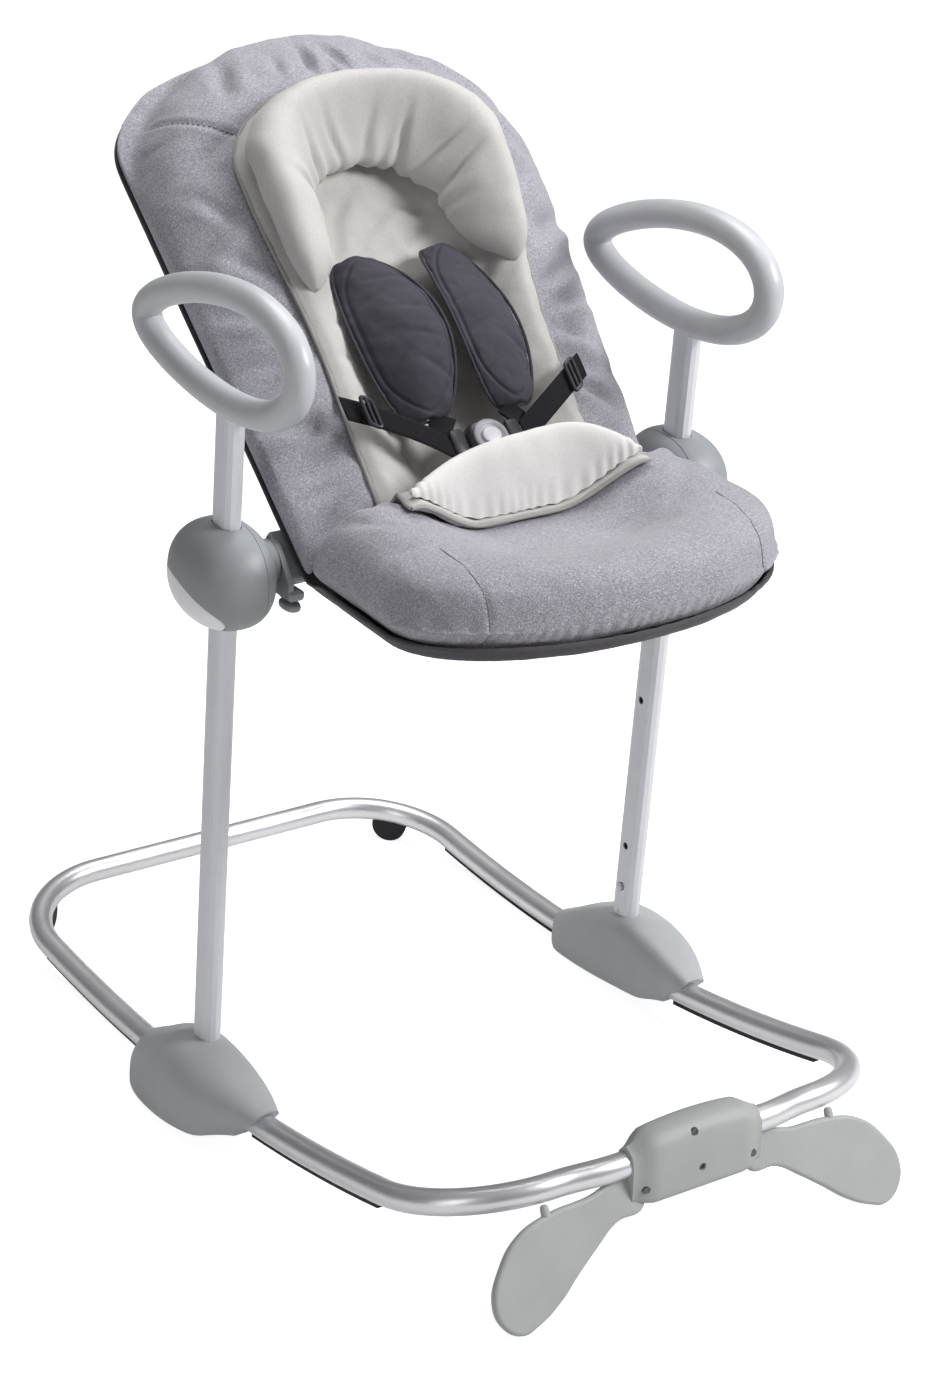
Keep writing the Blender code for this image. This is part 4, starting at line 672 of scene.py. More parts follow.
MELANGE = (0.325, 0.32, 0.358)
INSERT = (0.52, 0.504, 0.488)
ROLL = (0.7, 0.684, 0.672)
SLATE = (0.047, 0.044, 0.058)
MATS = {
    "aluminium": brushed("satin_aluminium", (0.84, 0.84, 0.87), 0.34, 0.8,
                         (900.0, 900.0, 900.0)),
    "post": brushed("post_silver", (0.76, 0.77, 0.81), 0.4, 0.3, (900.0, 900.0, 60.0)),
    "hub": moulded("hub_grey", (0.44, 0.455, 0.465), 0.52),
    "pod": moulded("pod_grey", (0.3, 0.315, 0.33), 0.46),
    "ring": moulded("ring_grey", (0.55, 0.56, 0.585), 0.34, 0.00003),
    "pedal": moulded("pedal_grey", (0.41, 0.42, 0.415), 0.55),
    "white": moulded("button_white", (0.86, 0.86, 0.88), 0.32, 0.00003, coat=0.2),
    "rubber": moulded("rubber_black", (0.016, 0.016, 0.019), 0.72, 0.0001, 900.0),
    "steel": brushed("dark_steel", (0.16, 0.16, 0.17), 0.35, 1.0, (700.0, 700.0, 700.0)),
    "bright": brushed("zinc_steel", (0.58, 0.58, 0.6), 0.3, 1.0, (500.0, 500.0, 500.0)),
    "cover_back": melange("cover_melange_back", MELANGE, BACK_TURN),
    "cover_leg": melange("cover_melange_leg", MELANGE, 0.0),
    "under": jersey("cover_dark", (0.085, 0.08, 0.092), 0.0, 0.0005, 1.5),
    "insert": jersey("insert_jersey", INSERT, BACK_TURN, 0.00035, 1.2),
    # Painted light: the pillow's jersey is the insert's colour made 0.03 lighter in each channel,
    # standing in for the raised pillow's lit face
    "pillow": jersey("pillow_lit_jersey", (0.55, 0.534, 0.518), BACK_TURN, 0.00035, 1.2),
    "roll": jersey("roll_jersey", ROLL, 0.0, 0.00035, 1.0),
    "pads": jersey("pad_slate", SLATE, BACK_TURN, 0.0004, 1.2, 0.05),
    "thread": jersey("seam_thread", (0.185, 0.182, 0.206), 0.0, 0.0002, 0.0, 0.0),
    "pale_thread": jersey("pale_seam_thread", (0.36, 0.35, 0.335), 0.0, 0.0002, 0.0, 0.0),
    "web": webbing_cloth("webbing_black", (0.006, 0.006, 0.008)),
    "buckle": moulded("buckle_grey", (0.022, 0.022, 0.027), 0.4),
    "dial": moulded("buckle_dial_grey", (0.23, 0.23, 0.25), 0.38),
    "button": moulded("buckle_button_grey", (0.5, 0.5, 0.53), 0.34),
}
NODE_MATS = (
    ("base_", "aluminium"), ("grip_strip", "rubber"), ("rear_stop", "rubber"), ("hub", "hub"),
    ("post_stub", "steel"), ("post", "post"), ("ring", "ring"), ("stop_pedal_screw", "steel"),
    ("stop_pedal", "pedal"), ("pod", "pod"), ("height_button", "white"), ("snap", "bright"),
    ("lock_pin", "bright"), ("seat_frame", "bright"), ("hinge_arm", "pod"), ("arm_bolt", "bright"),
    ("recline_button", "pod"),
)


def dress_nodes():
    for name, obj in NODES.items():
        for start, mat in NODE_MATS:
            if name.startswith(start):
                obj.data.materials.clear()
                obj.data.materials.append(MATS[mat])
                break


def finish_piece(obj, body, mat, *nodes):
    obj.data.materials.clear()
    obj.data.materials.append(MATS[mat])
    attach(obj, body)
    if nodes:
        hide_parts(*nodes)
    return obj


# Base tubes

def rail_height(y):
    low = TUBE_R + STRIP_DEPTH
    return low + ROCKER_R - sqrt(ROCKER_R ** 2 - (y - ROCKER_LOW_Y) ** 2)


def rail_point(x, y):
    return Vector((x, y + SHIFT_Y, rail_height(y)))


def base_half(end_y, joint_y, forward):
    reach = RAIL_X - CORNER_R
    points = []
    for k in range(14):
        x = reach * k / 14
        t = ease((x - STRAIGHT_HALF) / (reach - STRAIGHT_HALF))
        points.append(rail_point(x, end_y - (FRONT_BOW * (1.0 - t) if forward < 0 else 0.0)))
    for k in range(25):
        a = 0.5 * pi * k / 24
        points.append(rail_point(reach + CORNER_R * sin(a),
                                 end_y - forward * CORNER_R * (1.0 - cos(a))))
    start = end_y - forward * CORNER_R
    for k in range(1, 11):
        points.append(rail_point(RAIL_X, between(start, joint_y, k / 10)))
    return points


def base_tubes():
    for name, end_y, forward in (("base_front_tube", FRONT_Y, -1.0),
                                 ("base_rear_tube", REAR_Y, 1.0)):
        half = base_half(end_y, TUBE_JOINT_Y + forward * TUBE_GAP, forward)
        mirrored = [Vector((-p.x, p.y, p.z)) for p in half]
        tube = rope(name.replace("tube", "rail"), mirrored[:0:-1] + half, TUBE_R, False, 6)
        finish_piece(tube, "base", "aluminium", name)


def rings():
    for side, tag in SIDES:
        points = []
        for a in angles(96):
            along = RING_HALF_LONG * cos(a)
            up = RING_HALF_TALL * sin(a) * (1.0 + RING_EGG * cos(a))
            y = RING_Y - along * cos(RING_TILT) + up * sin(RING_TILT) + SHIFT_Y
            z = RING_Z + along * sin(RING_TILT) + up * cos(RING_TILT)
            points.append(Vector((side * RAIL_X, y, z)))
        grip = rope("grip_loop_" + tag, points, RING_R, True, 8)
        finish_piece(grip, "base", "ring", "ring_" + tag)


# Hubs, pods and pedal

def cut(obj, tool, operation="DIFFERENCE"):
    mod = obj.modifiers.new("cut", "BOOLEAN")
    mod.operation = operation
    mod.solver = "EXACT"
    mod.object = tool
    applied(obj)
    bpy.data.objects.remove(tool)
    return obj


def joined(name, *parts, outward=False):
    bm = bmesh.new()
    for part in parts:
        bm.from_mesh(part.data)
    for part in parts:
        bpy.data.objects.remove(part)
    return from_bmesh(name, bm, outward)


def creased(obj, degrees):
    obj.data.set_sharp_from_angle(angle=radians(degrees))
    return obj


def slice_tool(ends, matrix):
    """A block between two values of x in the frame of a matrix."""
    low = Vector((ends[0], -TOOL_REACH, -TOOL_REACH))
    high = Vector((ends[1], TOOL_REACH, TOOL_REACH))
    bm = bmesh.new()
    bmesh.ops.create_cube(bm, size=1.0)
    bmesh.ops.scale(bm, vec=high - low, verts=bm.verts)
    bmesh.ops.translate(bm, vec=(high + low) * 0.5, verts=bm.verts)
    bmesh.ops.transform(bm, matrix=matrix, verts=bm.verts)
    return from_bmesh("tool", bm)


def round_tool(radius_x, radius_y, low, high, matrix, sides):
    return loft("tool", [oval(radius_x, radius_y, z, sides, matrix) for z in (low, high)])


def bore_tool(place):
    """The stadium-shaped passage of a post, a little wider than the post."""
    flat = (POST_LONG - POST_THICK) / 2.0
    sides = [(POST_BORE_R * cos(a),
              copysign(flat, sin(a + 0.001)) + POST_BORE_R * sin(a))
             for a in angles(48)]
    return loft("tool", [[place @ Vector((x, y, z)) for x, y in sides]
                         for z in (-TOOL_REACH, TOOL_REACH)])


def station_at(y):
    last = len(HUB_STATIONS) - 1
    for i in range(last):
        if y <= HUB_STATIONS[i + 1][0] or i == last - 1:
            before = HUB_STATIONS[max(i - 1, 0)]
            a = HUB_STATIONS[i]
            b = HUB_STATIONS[i + 1]
            after = HUB_STATIONS[min(i + 2, last)]
            t = (y - a[0]) / (b[0] - a[0])
            out = []
            for j in (1, 2, 3):
                slope_a = (b[j] - before[j]) / max(b[0] - before[0], 1e-6) * (b[0] - a[0])
                slope_b = (after[j] - a[j]) / max(after[0] - a[0], 1e-6) * (b[0] - a[0])
                h = t * t * (3.0 - 2.0 * t)
                out.append(a[j] * (1.0 - h) + b[j] * h + slope_a * t * (1.0 - t) ** 2
                           - slope_b * t * t * (1.0 - t))
            return out


def hubs():
    first = HUB_STATIONS[0][0]
    final = HUB_STATIONS[-1][0]
    for side, tag in SIDES:
        loops = []
        for k in range(33):
            y = between(first, final, 0.5 - 0.5 * cos(pi * k / 32))
            top, out, inner = station_at(y)
            floor = rail_height(y) - TUBE_R - STRIP_DEPTH + 0.001
            near = 1.0 - ease((y - first) / (2.5 * HUB_FOOT_BACK))
            round_in = 0.92 + 0.08 * sin(pi * k / 32) ** 0.5
            loop = []
            for i in range(33):
                a = pi * i / 32
                outward = a < pi / 2.0
                reach = (out if outward else inner) * round_in
                across = bent(cos(a), (0.75 if outward else 0.55))
                up = abs(sin(a)) ** 0.72
                push = HUB_FOOT_BACK * (1.0 - ease(up)) * near
                loop.append(Vector((side * (RAIL_X + across * reach), y + push + SHIFT_Y,
                                    floor + (top - floor) * up)))
            loops.append(loop)
        hub = creased(loft("hub_hood_" + tag, loops), 50.0)
        finish_piece(hub, "base", "hub", "hub_" + tag)


def pod_frame(side):
    place = Matrix.Translation((0.0, SHIFT_Y - sin(POST_LEAN) * POD_AT,
                                POST_FOOT_Z + cos(POST_LEAN) * POD_AT))
    lean = Matrix.Rotation(POST_LEAN, 4, "X")
    return place @ lean @ Matrix.Translation((side * RAIL_X, 0.0, 0.0))


def pod_body(name, side, grow=0.0):
    bm = bmesh.new()
    bmesh.ops.create_uvsphere(bm, u_segments=72, v_segments=40, radius=1.0)
    for vert in bm.verts:
        x, y, z = (bent(c, POD_FULL) if abs(c) > 1e-6 else 0.0 for c in vert.co)
        reach = POD_OUT if x > 0.0 else POD_IN
        vert.co = (side * x * (reach + grow), y * (POD_LONG + grow), z * (POD_TALL + grow))
    bmesh.ops.transform(bm, matrix=pod_frame(side), verts=bm.verts)
    return from_bmesh(name, bm)


def button_turn(side):
    out = Vector((side * cos(BUTTON_AIM), 0.0, sin(BUTTON_AIM)))
    long = Vector((0.0, cos(BUTTON_TWIST), -sin(BUTTON_TWIST)))
    long = (long - out * long.dot(out)).normalized()
    return pod_frame(side) @ axes(long.cross(out), long, out).to_4x4()


def pods():
    for side, tag in SIDES:
        place = pod_frame(side)
        seam = -side * POD_SPLIT
        near = sorted((seam - side * 0.2, seam + side * 0.0003))
        far = sorted((seam - side * 0.0003, seam + side * 0.2))
        tall = BUTTON_TALL / 2.0
        long = BUTTON_LONG / 2.0
        outer = cut(pod_body("pod_shell_" + tag, side), slice_tool(near, place))
        cut(outer, bore_tool(place))
        cut(outer, round_tool(tall, long, BUTTON_FLOOR, 0.08, button_turn(side), 64))
        finish_piece(creased(outer, 35.0), "carriage", "pod", "pod_outer_" + tag)
        press = pod_body("height_press_" + tag, side, 0.0003)
        tool = round_tool(tall - BUTTON_SIDE, long - BUTTON_SIDE, BUTTON_FLOOR + BUTTON_RUN, 0.08,
                          button_turn(side), 64)
        cut(press, tool, "INTERSECT")
        finish_piece(creased(press, 35.0), "height_button_" + tag, "white", "height_button_" + tag)
        inner = cut(pod_body("tool_shell", side), slice_tool(far, place))
        hinge = Vector((0.0, HINGE_Y + SHIFT_Y, HINGE_Z))
        face = RAIL_X - BOSS_OUT
        loops = []
        for x, r in ((face + 0.03, 0.029), (face + 0.02, 0.025), (face + 0.012, 0.0225),
                     (face + 0.0012, 0.0215), (face, 0.0203)):
            loops.append([Vector((side * x, hinge.y + r * cos(a), hinge.z + r * sin(a)))
                           for a in angles(48)])
        boss = creased(loft("tool_boss", loops), 50.0)
        inner = creased(joined("pod_back_" + tag, inner, boss), 50.0)
        finish_piece(inner, "carriage", "pod", "pod_inner_" + tag)


def recline_caps():
    for side, tag in SIDES:
        place = Vector((side * CAP_X, CAP_Y + SHIFT_Y, HIP_Z - CAP_BELOW_HIP))
        cap = tablet("recline_cap_" + tag, place, Matrix.Identity(3), 0.0076, 0.0138,
                     [(0.0006, 0.4), (-0.0036, 0.4), (-0.004, 0.86), (-0.0052, 0.96),
                      (-0.0072, 1.0), (-0.0095, 0.97), (-0.011, 0.86), (-0.0118, 0.62),
                      (-0.012, 0.2)], 0.8)
        finish_piece(cap, "recline_button_" + tag, "pod", "recline_button_" + tag)


def paddle(side, place):
    knots = [(0.06, 0.016), (0.12, 0.0185), (0.161, 0.021), (0.195, 0.032), (0.218, 0.0545),
             (0.231, 0.083), (0.225, 0.106), (0.207, 0.1181), (0.188, 0.114), (0.163, 0.101),
             (0.14, 0.083), (0.117, 0.066), (0.091, 0.049), (0.06, 0.043)]
    data = bpy.data.curves.new("paddle", "CURVE")
    data.dimensions = "2D"
    data.fill_mode = "BOTH"
    data.resolution_u = 10
    data.extrude = 0.0007
    data.bevel_depth = PADDLE_ROUND
    data.bevel_resolution = 5
    data.offset = -PADDLE_ROUND
    spline = data.splines.new("BEZIER")
    spline.bezier_points.add(len(knots) - 1)
    for knot, (x, y) in zip(spline.bezier_points, knots):
        knot.co = (side * x, y, 0.0)
        knot.handle_left_type = "AUTO"
        knot.handle_right_type = "AUTO"
    spline.use_cyclic_u = True
    obj = from_curve("paddle", data)
    obj.data.transform(place)
    return obj


def pedal():
    origin = rail_point(0.0, FRONT_Y - FRONT_BOW)
    tilt = radians(22.0)
    loops = []
    for k in range(29):
        t = 0.5 - 0.5 * cos(pi * k / 28)
        draw = 0.007 * (1.0 - ease(min(t, 1.0 - t) / 0.16))
        top = 0.025 - draw + 0.007 * (1.0 - (2.0 * t - 1.0) ** 2)
        front = -0.0208 + draw
        back = 0.019 - draw
        low = -0.038 + 0.4 * draw
        knots = [(front, low + 0.003), (front - 0.0004, -0.012), (front, top - 0.014),
                 (front + 0.0035, top - 0.005), (front + 0.012, top), (back - 0.012, top),
                 (back - 0.003, top - 0.007), (back, top - 0.018), (back, -0.0175),
                 (back - 0.006, -0.0275), (front + 0.014, low), (front + 0.003, low)]
        x = between(-PEDAL_HALF, PEDAL_HALF, t)
        closed = [Vector((x, y, z)) for y, z in knots]
        smooth_line = rounded_line([closed[-1]] + closed + [closed[0], closed[1]], 4)[4:-8]
        loops.append([origin + q for q in smooth_line])
    shell = loft("pedal_shell", loops)
    turn = Matrix.Rotation(pi / 2.0, 4, "X")
    for x, z in SCREW_HOLES:
        place = Matrix.Translation(origin + Vector((x, 0.0, z))) @ turn
        cut(shell, round_tool(0.004, 0.004, 0.0165, 0.04, place, 24))
    creased(shell, 45.0)
    down = Vector((0.0, -sin(tilt), -cos(tilt)))
    ahead = Vector((0.0, -cos(tilt), sin(tilt)))
    plane = Matrix.Translation(origin) @ axes(down.cross(ahead), down, ahead).to_4x4()
    plane = plane @ Matrix.Translation((0.0, 0.0, -0.004))
    parts = [shell]
    for side in (-1.0, 1.0):
        parts.append(paddle(side, plane))
        nub = plane @ Matrix.Translation((side * NUB_X, NUB_Y, 0.0)) @ turn
        parts.append(loft("nub", [oval(r, r, z, 20, nub) for z, r in NUB_SHAPE]))
    piece = joined("pedal_body", *parts)
    finish_piece(creased(piece, 50.0), "pedal", "pedal", "stop_pedal_front", "stop_pedal_clamp")


# Cushions

def cushion(name, panel, top, swell):
    rows = []
    for k in range(31):
        v = k / 30
        v = between(v, sin(0.5 * pi * v), 0.5)
        row = []
        for u in spread(34):
            x, along = panel.plan(u, v)
            high = top(x, along)
            low = panel.cushion_floor(x, along) - 0.0026
            wide_x, far = panel.plan(u, v, -swell)
            gap_high, gap_low = ((mitre(n) + SOFT_GAP / 2.0) * (1.0 - v) for n in (high, low))
            row.append((panel.point(wide_x, far + gap_high, high),
                        panel.point(x, along + gap_low, low)))
        rows.append(row)
    return slab(name, rows)


def inflated(obj, cap, shrink):
    """Blows a slightly smaller copy of the piece up as cloth, each point held near its place."""
    subdivided(obj)
    home = points_of(obj)
    set_points(obj, home - normals_of(obj) * shrink)
    cloth = obj.modifiers.new("cloth", "CLOTH")
    cloth.settings.use_pressure = True
    cloth.settings.uniform_pressure_force = 4.0
    cloth.settings.effector_weights.gravity = 0.0
    cloth.settings.quality = 4
    cloth.point_cache.frame_start = 1
    cloth.point_cache.frame_end = 20
    scene = bpy.context.scene
    for k in range(1, 21):
        scene.frame_set(k)
    applied(obj)
    scene.frame_set(1)
    moved = points_of(obj) - home
    far = np.linalg.norm(moved, axis=1, keepdims=True)
    set_points(obj, home + moved * np.minimum(1.0, cap / np.maximum(far, 1e-9)))
    return obj


def groove(px, py, line, width, depth, shoulder=0.35):
    d = line_distance(px, py, line)
    valley = np.exp(-(d / width) ** 2)
    swell = np.exp(-((d - 2.2 * width) / (1.3 * width)) ** 2)
    return depth * (shoulder * swell - valley)


def seam_thread(name, carrier, points, radius):
    """A sewn line laid on the nearest surface of a finished piece."""
    line = []
    for q in points:
        found, place, normal, _ = carrier.closest_point_on_mesh(q)
        if found:
            line.append(place - normal * (radius * 0.3))
    finish_piece(rope(name, line, radius, False, 1), "seat", "thread")


def back_cushion():
    obj = cushion("back_cushion_cover", BACK, back_top, 0.0035)
    inflated(obj, 0.003, 0.002)
    subdivided(obj)
    co = points_of(obj)
    x, s, n = back_coords(co)
    rim = np.array([BACK.half_w(a) for a in s]) - np.abs(x)
    up = np.clip((s - BACK_LONG + HEAD_ROUND) / HEAD_ROUND, 0.0, 1.0)
    side = np.abs(x) / BACK_HALF_W
    reach = np.maximum(np.hypot(side, up), 0.1)
    rim = np.where(up > 0.0, (1.0 - reach) * 0.16, rim)
    full = np.clip((n - 0.012) / 0.016, 0.0, 1.0) * np.clip(1.0 - rim / 0.055, 0.0, 1.0) ** 1.5
    full *= np.clip(s / 0.03, 0.0, 1.0) * (0.0085 + 0.0055 * np.clip(1.0 - s / 0.2, 0.0, 1.0))
    co[:, 0] += np.sign(x) * full * side / reach
    co[:, 1] += SLOPE * (full * up / reach - 0.5 * full)
    co[:, 2] += SLOPE * (full * up / reach + 0.5 * full)
    move = 0.0012 * ripple(x, s, 0.11, 1.0) + 0.0006 * ripple(x, s, 0.045, 2.0)
    for side in (-1.0, 1.0):
        seam = [(side * 0.207, 0.497), (side * 0.175, 0.472), (side * 0.145, 0.446),
                (side * 0.112, 0.416)]
        move += groove(x, s, seam, 0.0026, 0.0034)
    folds = (
        (-0.01, 0.505, 0.02, 0.0035, 1.35, 0.0034), (0.022, 0.503, 0.018, 0.0035, 1.75, 0.0032),
        (0.008, 0.48, 0.014, 0.003, 1.5, 0.0022), (-0.045, 0.5, 0.016, 0.004, 1.2, 0.0018),
        (0.06, 0.495, 0.016, 0.004, 1.9, 0.0018),
        (0.165, 0.245, 0.03, 0.005, 0.45, 0.003), (0.172, 0.215, 0.026, 0.0045, 0.15, 0.0026),
        (0.16, 0.18, 0.026, 0.005, -0.2, 0.0022), (0.168, 0.285, 0.024, 0.005, 0.6, 0.002),
        (-0.165, 0.25, 0.03, 0.005, -0.35, 0.0028), (-0.17, 0.205, 0.026, 0.0045, -0.1, 0.0024),
        (-0.16, 0.3, 0.026, 0.005, -0.7, 0.0022), (-0.15, 0.13, 0.03, 0.005, 0.55, 0.0024),
        (0.15, 0.12, 0.03, 0.005, -0.55, 0.0024), (-0.165, 0.075, 0.024, 0.0045, 0.25, 0.0026),
        (0.165, 0.075, 0.024, 0.0045, -0.25, 0.0026), (-0.17, 0.36, 0.022, 0.0045, -0.9, 0.0016),
        (0.172, 0.35, 0.022, 0.0045, 0.9, 0.0016),
        (-0.172, 0.045, 0.034, 0.008, 0.75, 0.0042), (-0.155, 0.1, 0.036, 0.008, 0.2, 0.0034),
        (-0.185, 0.15, 0.03, 0.007, -0.25, 0.003), (-0.17, 0.195, 0.034, 0.008, 0.35, 0.0026),
        (0.172, 0.045, 0.034, 0.008, -0.75, 0.0042), (0.155, 0.15, 0.036, 0.008, -0.2, 0.003),
        (0.185, 0.3, 0.03, 0.007, 0.3, 0.003), (0.165, 0.4, 0.034, 0.008, -0.6, 0.0026),
        (-0.15, 0.42, 0.034, 0.008, 0.5, 0.0024), (-0.1, 0.5, 0.026, 0.006, 1.1, 0.0026),
        (0.105, 0.498, 0.026, 0.006, 2.00, 0.0026), (-0.185, 0.33, 0.03, 0.008, 0.6, 0.0024),
    )
    for fx, fs, long, wide, turn, depth in folds:
        wide *= 1.25
        move += crease(x, s, fx, fs, turn, (2.2 * depth, long, wide), (1.2 * depth, long, wide),
                       2.2 * wide)
    face = np.clip((n - 0.016) / 0.012, 0.0, 1.0)
    pushed(obj, co, move * face)
    finish_piece(obj, "seat", "cover_back", "back_cushion")
    for side, tag in SIDES:
        line = []
        for k in range(25):
            t = k / 24
            lx = side * between(0.206, 0.116, t)
            ls = between(0.496, 0.42, t) + 0.006 * sin(pi * t)
            line.append(back_point(lx, ls, back_top(lx, ls)))
        seam_thread("head_seam_" + tag, obj, line, 0.0006)


def leg_cushion():
    obj = cushion("leg_cushion_cover", PAN, pan_top, SWELL_PAN + 0.003)
    inflated(obj, 0.003, 0.002)
    subdivided(obj)
    co = points_of(obj)
    x, p, n = pan_coords(co)
    move = 0.0011 * ripple(x, p + n, 0.1, 4.0) + 0.0005 * ripple(x, p + n, 0.04, 5.0)
    for side in (-1.0, 1.0):
        seam = [(side * LEG_SEAM_X, 0.01), (side * LEG_SEAM_X, 0.07)]
        front = (p > 0.175) * np.clip((0.082 - n) / 0.02, 0.0, 1.0)
        move += front * groove(x, n, seam, 0.0016, 0.0015, 0.2)
    pucker = np.sin(x * tau / GATHER + 2.0 * np.sin(x * 60.0))
    low = np.exp(-((n - 0.024) / 0.01) ** 2)
    move += 0.0007 * pucker * low
    for fx, fp, long, wide, turn, depth in (
            (-0.16, 0.04, 0.03, 0.005, 0.6, 0.0026), (0.16, 0.04, 0.03, 0.005, -0.6, 0.0026),
            (-0.15, 0.075, 0.028, 0.005, 0.3, 0.0018), (0.15, 0.075, 0.028, 0.005, -0.3, 0.0018),
            (0.06, 0.12, 0.035, 0.006, 0.1, 0.0012), (-0.07, 0.125, 0.035, 0.006, -0.1, 0.0012),
            (-0.178, 0.06, 0.04, 0.009, 1.1, 0.0042), (0.178, 0.06, 0.04, 0.009, -1.1, 0.0042),
            (-0.13, 0.1, 0.04, 0.01, 0.9, 0.0024), (0.14, 0.11, 0.04, 0.01, -0.9, 0.0024)):
        move -= depth * bump_at(x, p, fx, fp, long, wide, turn) * (n > 0.035)
    pushed(obj, co, move * np.clip((n - 0.014) / 0.008, 0.0, 1.0))
    finish_piece(obj, "seat", "cover_leg", "leg_cushion")
    for side, tag in SIDES:
        line = []
        for k in range(25):
            ahead = pan_point(side * LEG_SEAM_X, 0.4, 0.02 + 0.0026 * k)
            found, place, _, _ = obj.ray_cast(ahead, Vector((0.0, 1.0, 0.0)))
            if found:
                line.append(place)
        seam_thread("leg_seam_" + tag, obj, line, 0.0007)


def cover_rows(panel, count, flare):
    rows = []
    for k in range(count + 1):
        v = sin(0.5 * pi * k / count)
        row = []
        for u in spread(56, 0.9):
            x, along = panel.plan(u, v, 0.001 - flare * ease(4.0 * v))
            wave = 0.5 + 0.5 * sin((x + 0.6 * along) * tau / 0.012)
            edge = 1.0 - ease(panel.hem(x, along) / HEM_WIDE)
            low = panel.floor(x, along) + 0.0006 * wave * edge
            high = low + COVER_T * 0.8 + (0.0006 + 0.0012 * wave) * edge * ease(4.0 * v)
            row.append(layer(panel.point, x, along, high, low, 1.0 - v))
        rows.append(row)
    return rows


def under_cover():
    obj = slab("under_cover_cloth", cover_rows(PAN, 24, 0.005)[:0:-1] + cover_rows(BACK, 30, 0.0))
    subdivided(obj)
    finish_piece(obj, "seat", "under", "under_cover")


# Insert with its pillow and roll

def insert_half_w(s):
    if s > INSERT_WAIST:
        t = ease((s - INSERT_WAIST) / (PILLOW_TAIL - INSERT_WAIST + 0.12))
        return between(INSERT_HALF_W, INSERT_HEAD_HALF_W, t)
    return INSERT_HALF_W


def pan_insert_half_w(p):
    return between(INSERT_HALF_W, INSERT_HEM_HALF_W, ease(p / ROLL_FRONT))


def hip_top(x, s):
    return max(back_top(x, 0.0), pan_top(x, 0.0))


def insert_face(x, s):
    return back_top(x, s) + INSERT_LIFT + INSERT_T


def pan_insert_face(x, p):
    return pan_top(x, p) + INSERT_LIFT + INSERT_T


def insert_pad():
    rows = []
    columns = spread(36)
    outline = Panel(back_point, INSERT_TOP, INSERT_ROUND, insert_half_w)

    def add(point, top, places, start):
        row = []
        for u, (x, along) in zip(columns, places):
            low = top(x, along) + 0.0035
            thick = between(0.0045, INSERT_LIFT + INSERT_T - 0.0035, ease((1.0 - abs(u)) / 0.1))
            row.append(layer(point, x, along, low + thick, low, start))
        rows.append(row)

    front = ROLL_FRONT + INSERT_LIP
    for k in range(8):
        p = front * (1.0 - k / 8.0)
        add(pan_point, pan_top, [(u * pan_insert_half_w(p), p) for u in columns], 1.0)
    add(back_point, hip_top, [(u * INSERT_HALF_W, 0.0) for u in columns], 1.0)
    for k in range(1, 41):
        places = [outline.plan(u, k / 40) for u in columns]
        add(back_point, back_top, places, max(0.0, 1.0 - places[0][1] / outline.straight))
    obj = slab("insert_cloth", rows)
    subdivided(obj)
    co = points_of(obj)
    x, s, _ = back_coords(co)
    move = 0.001 * ripple(x, s, 0.05, 7.0) + 0.0005 * ripple(x, s, 0.022, 8.0)
    for side in (-1.0, 1.0):
        for fs, turn in ((0.1, 0.5), (0.145, 0.25), (0.19, -0.1), (0.225, -0.35)):
            move -= 0.0022 * bump_at(x, s, side * 0.095, fs, 0.022, 0.0035, side * turn)
    for fx, fs, turn in ((-0.03, 0.35, 0.75), (0.005, 0.335, 0.55), (0.03, 0.31, 0.35),
                         (-0.045, 0.315, 1.00), (0.05, 0.345, -0.5), (0.0, 0.2, 1.45),
                         (0.095, 0.27, 0.9), (-0.08, 0.06, -0.6), (0.08, 0.06, 0.6)):
        move += crease(x, s, fx, fs, turn, (0.0034, 0.03, 0.0055), (0.002, 0.028, 0.0065), 0.012)
    pushed(obj, co, move)
    finish_piece(obj, "seat", "insert", "insert_pad")
    edge = [[(a + b) * 0.5 for a, b in row] for row in rows]
    line = [r[0] for r in edge] + edge[-1][1:] + [r[-1] for r in edge[-2::-1]]
    line += edge[0][-2:0:-1]
    welt = rope("insert_welt", rounded_line(line + line[:1], 2), 0.0021, False, 2)
    finish_piece(welt, "seat", "pale_thread")


def pillow_edges():
    """Outer and inner edge of the pillow, from one tail over the arch to the other."""
    right = []
    for k in range(15):
        t = k / 15
        outer_s = between(PILLOW_TAIL, PILLOW_OUT_S, t)
        inner_s = between(PILLOW_TAIL + 0.006, PILLOW_IN_S, t)
        right.append(((insert_half_w(outer_s) - 0.004, outer_s),
                      (PILLOW_IN_X + 0.028 * (1.0 - t) ** 2, inner_s)))
    arch = []
    for k in range(41):
        a = pi * k / 40
        arch.append(((PILLOW_OUT_X * cos(a), PILLOW_OUT_S + PILLOW_OUT_RISE * sin(a)),
                     (PILLOW_IN_X * cos(a), PILLOW_IN_S + PILLOW_IN_RISE * sin(a))))
    left = [((-o[0], o[1]), (-i[0], i[1])) for o, i in right[::-1]]
    return right + arch + left


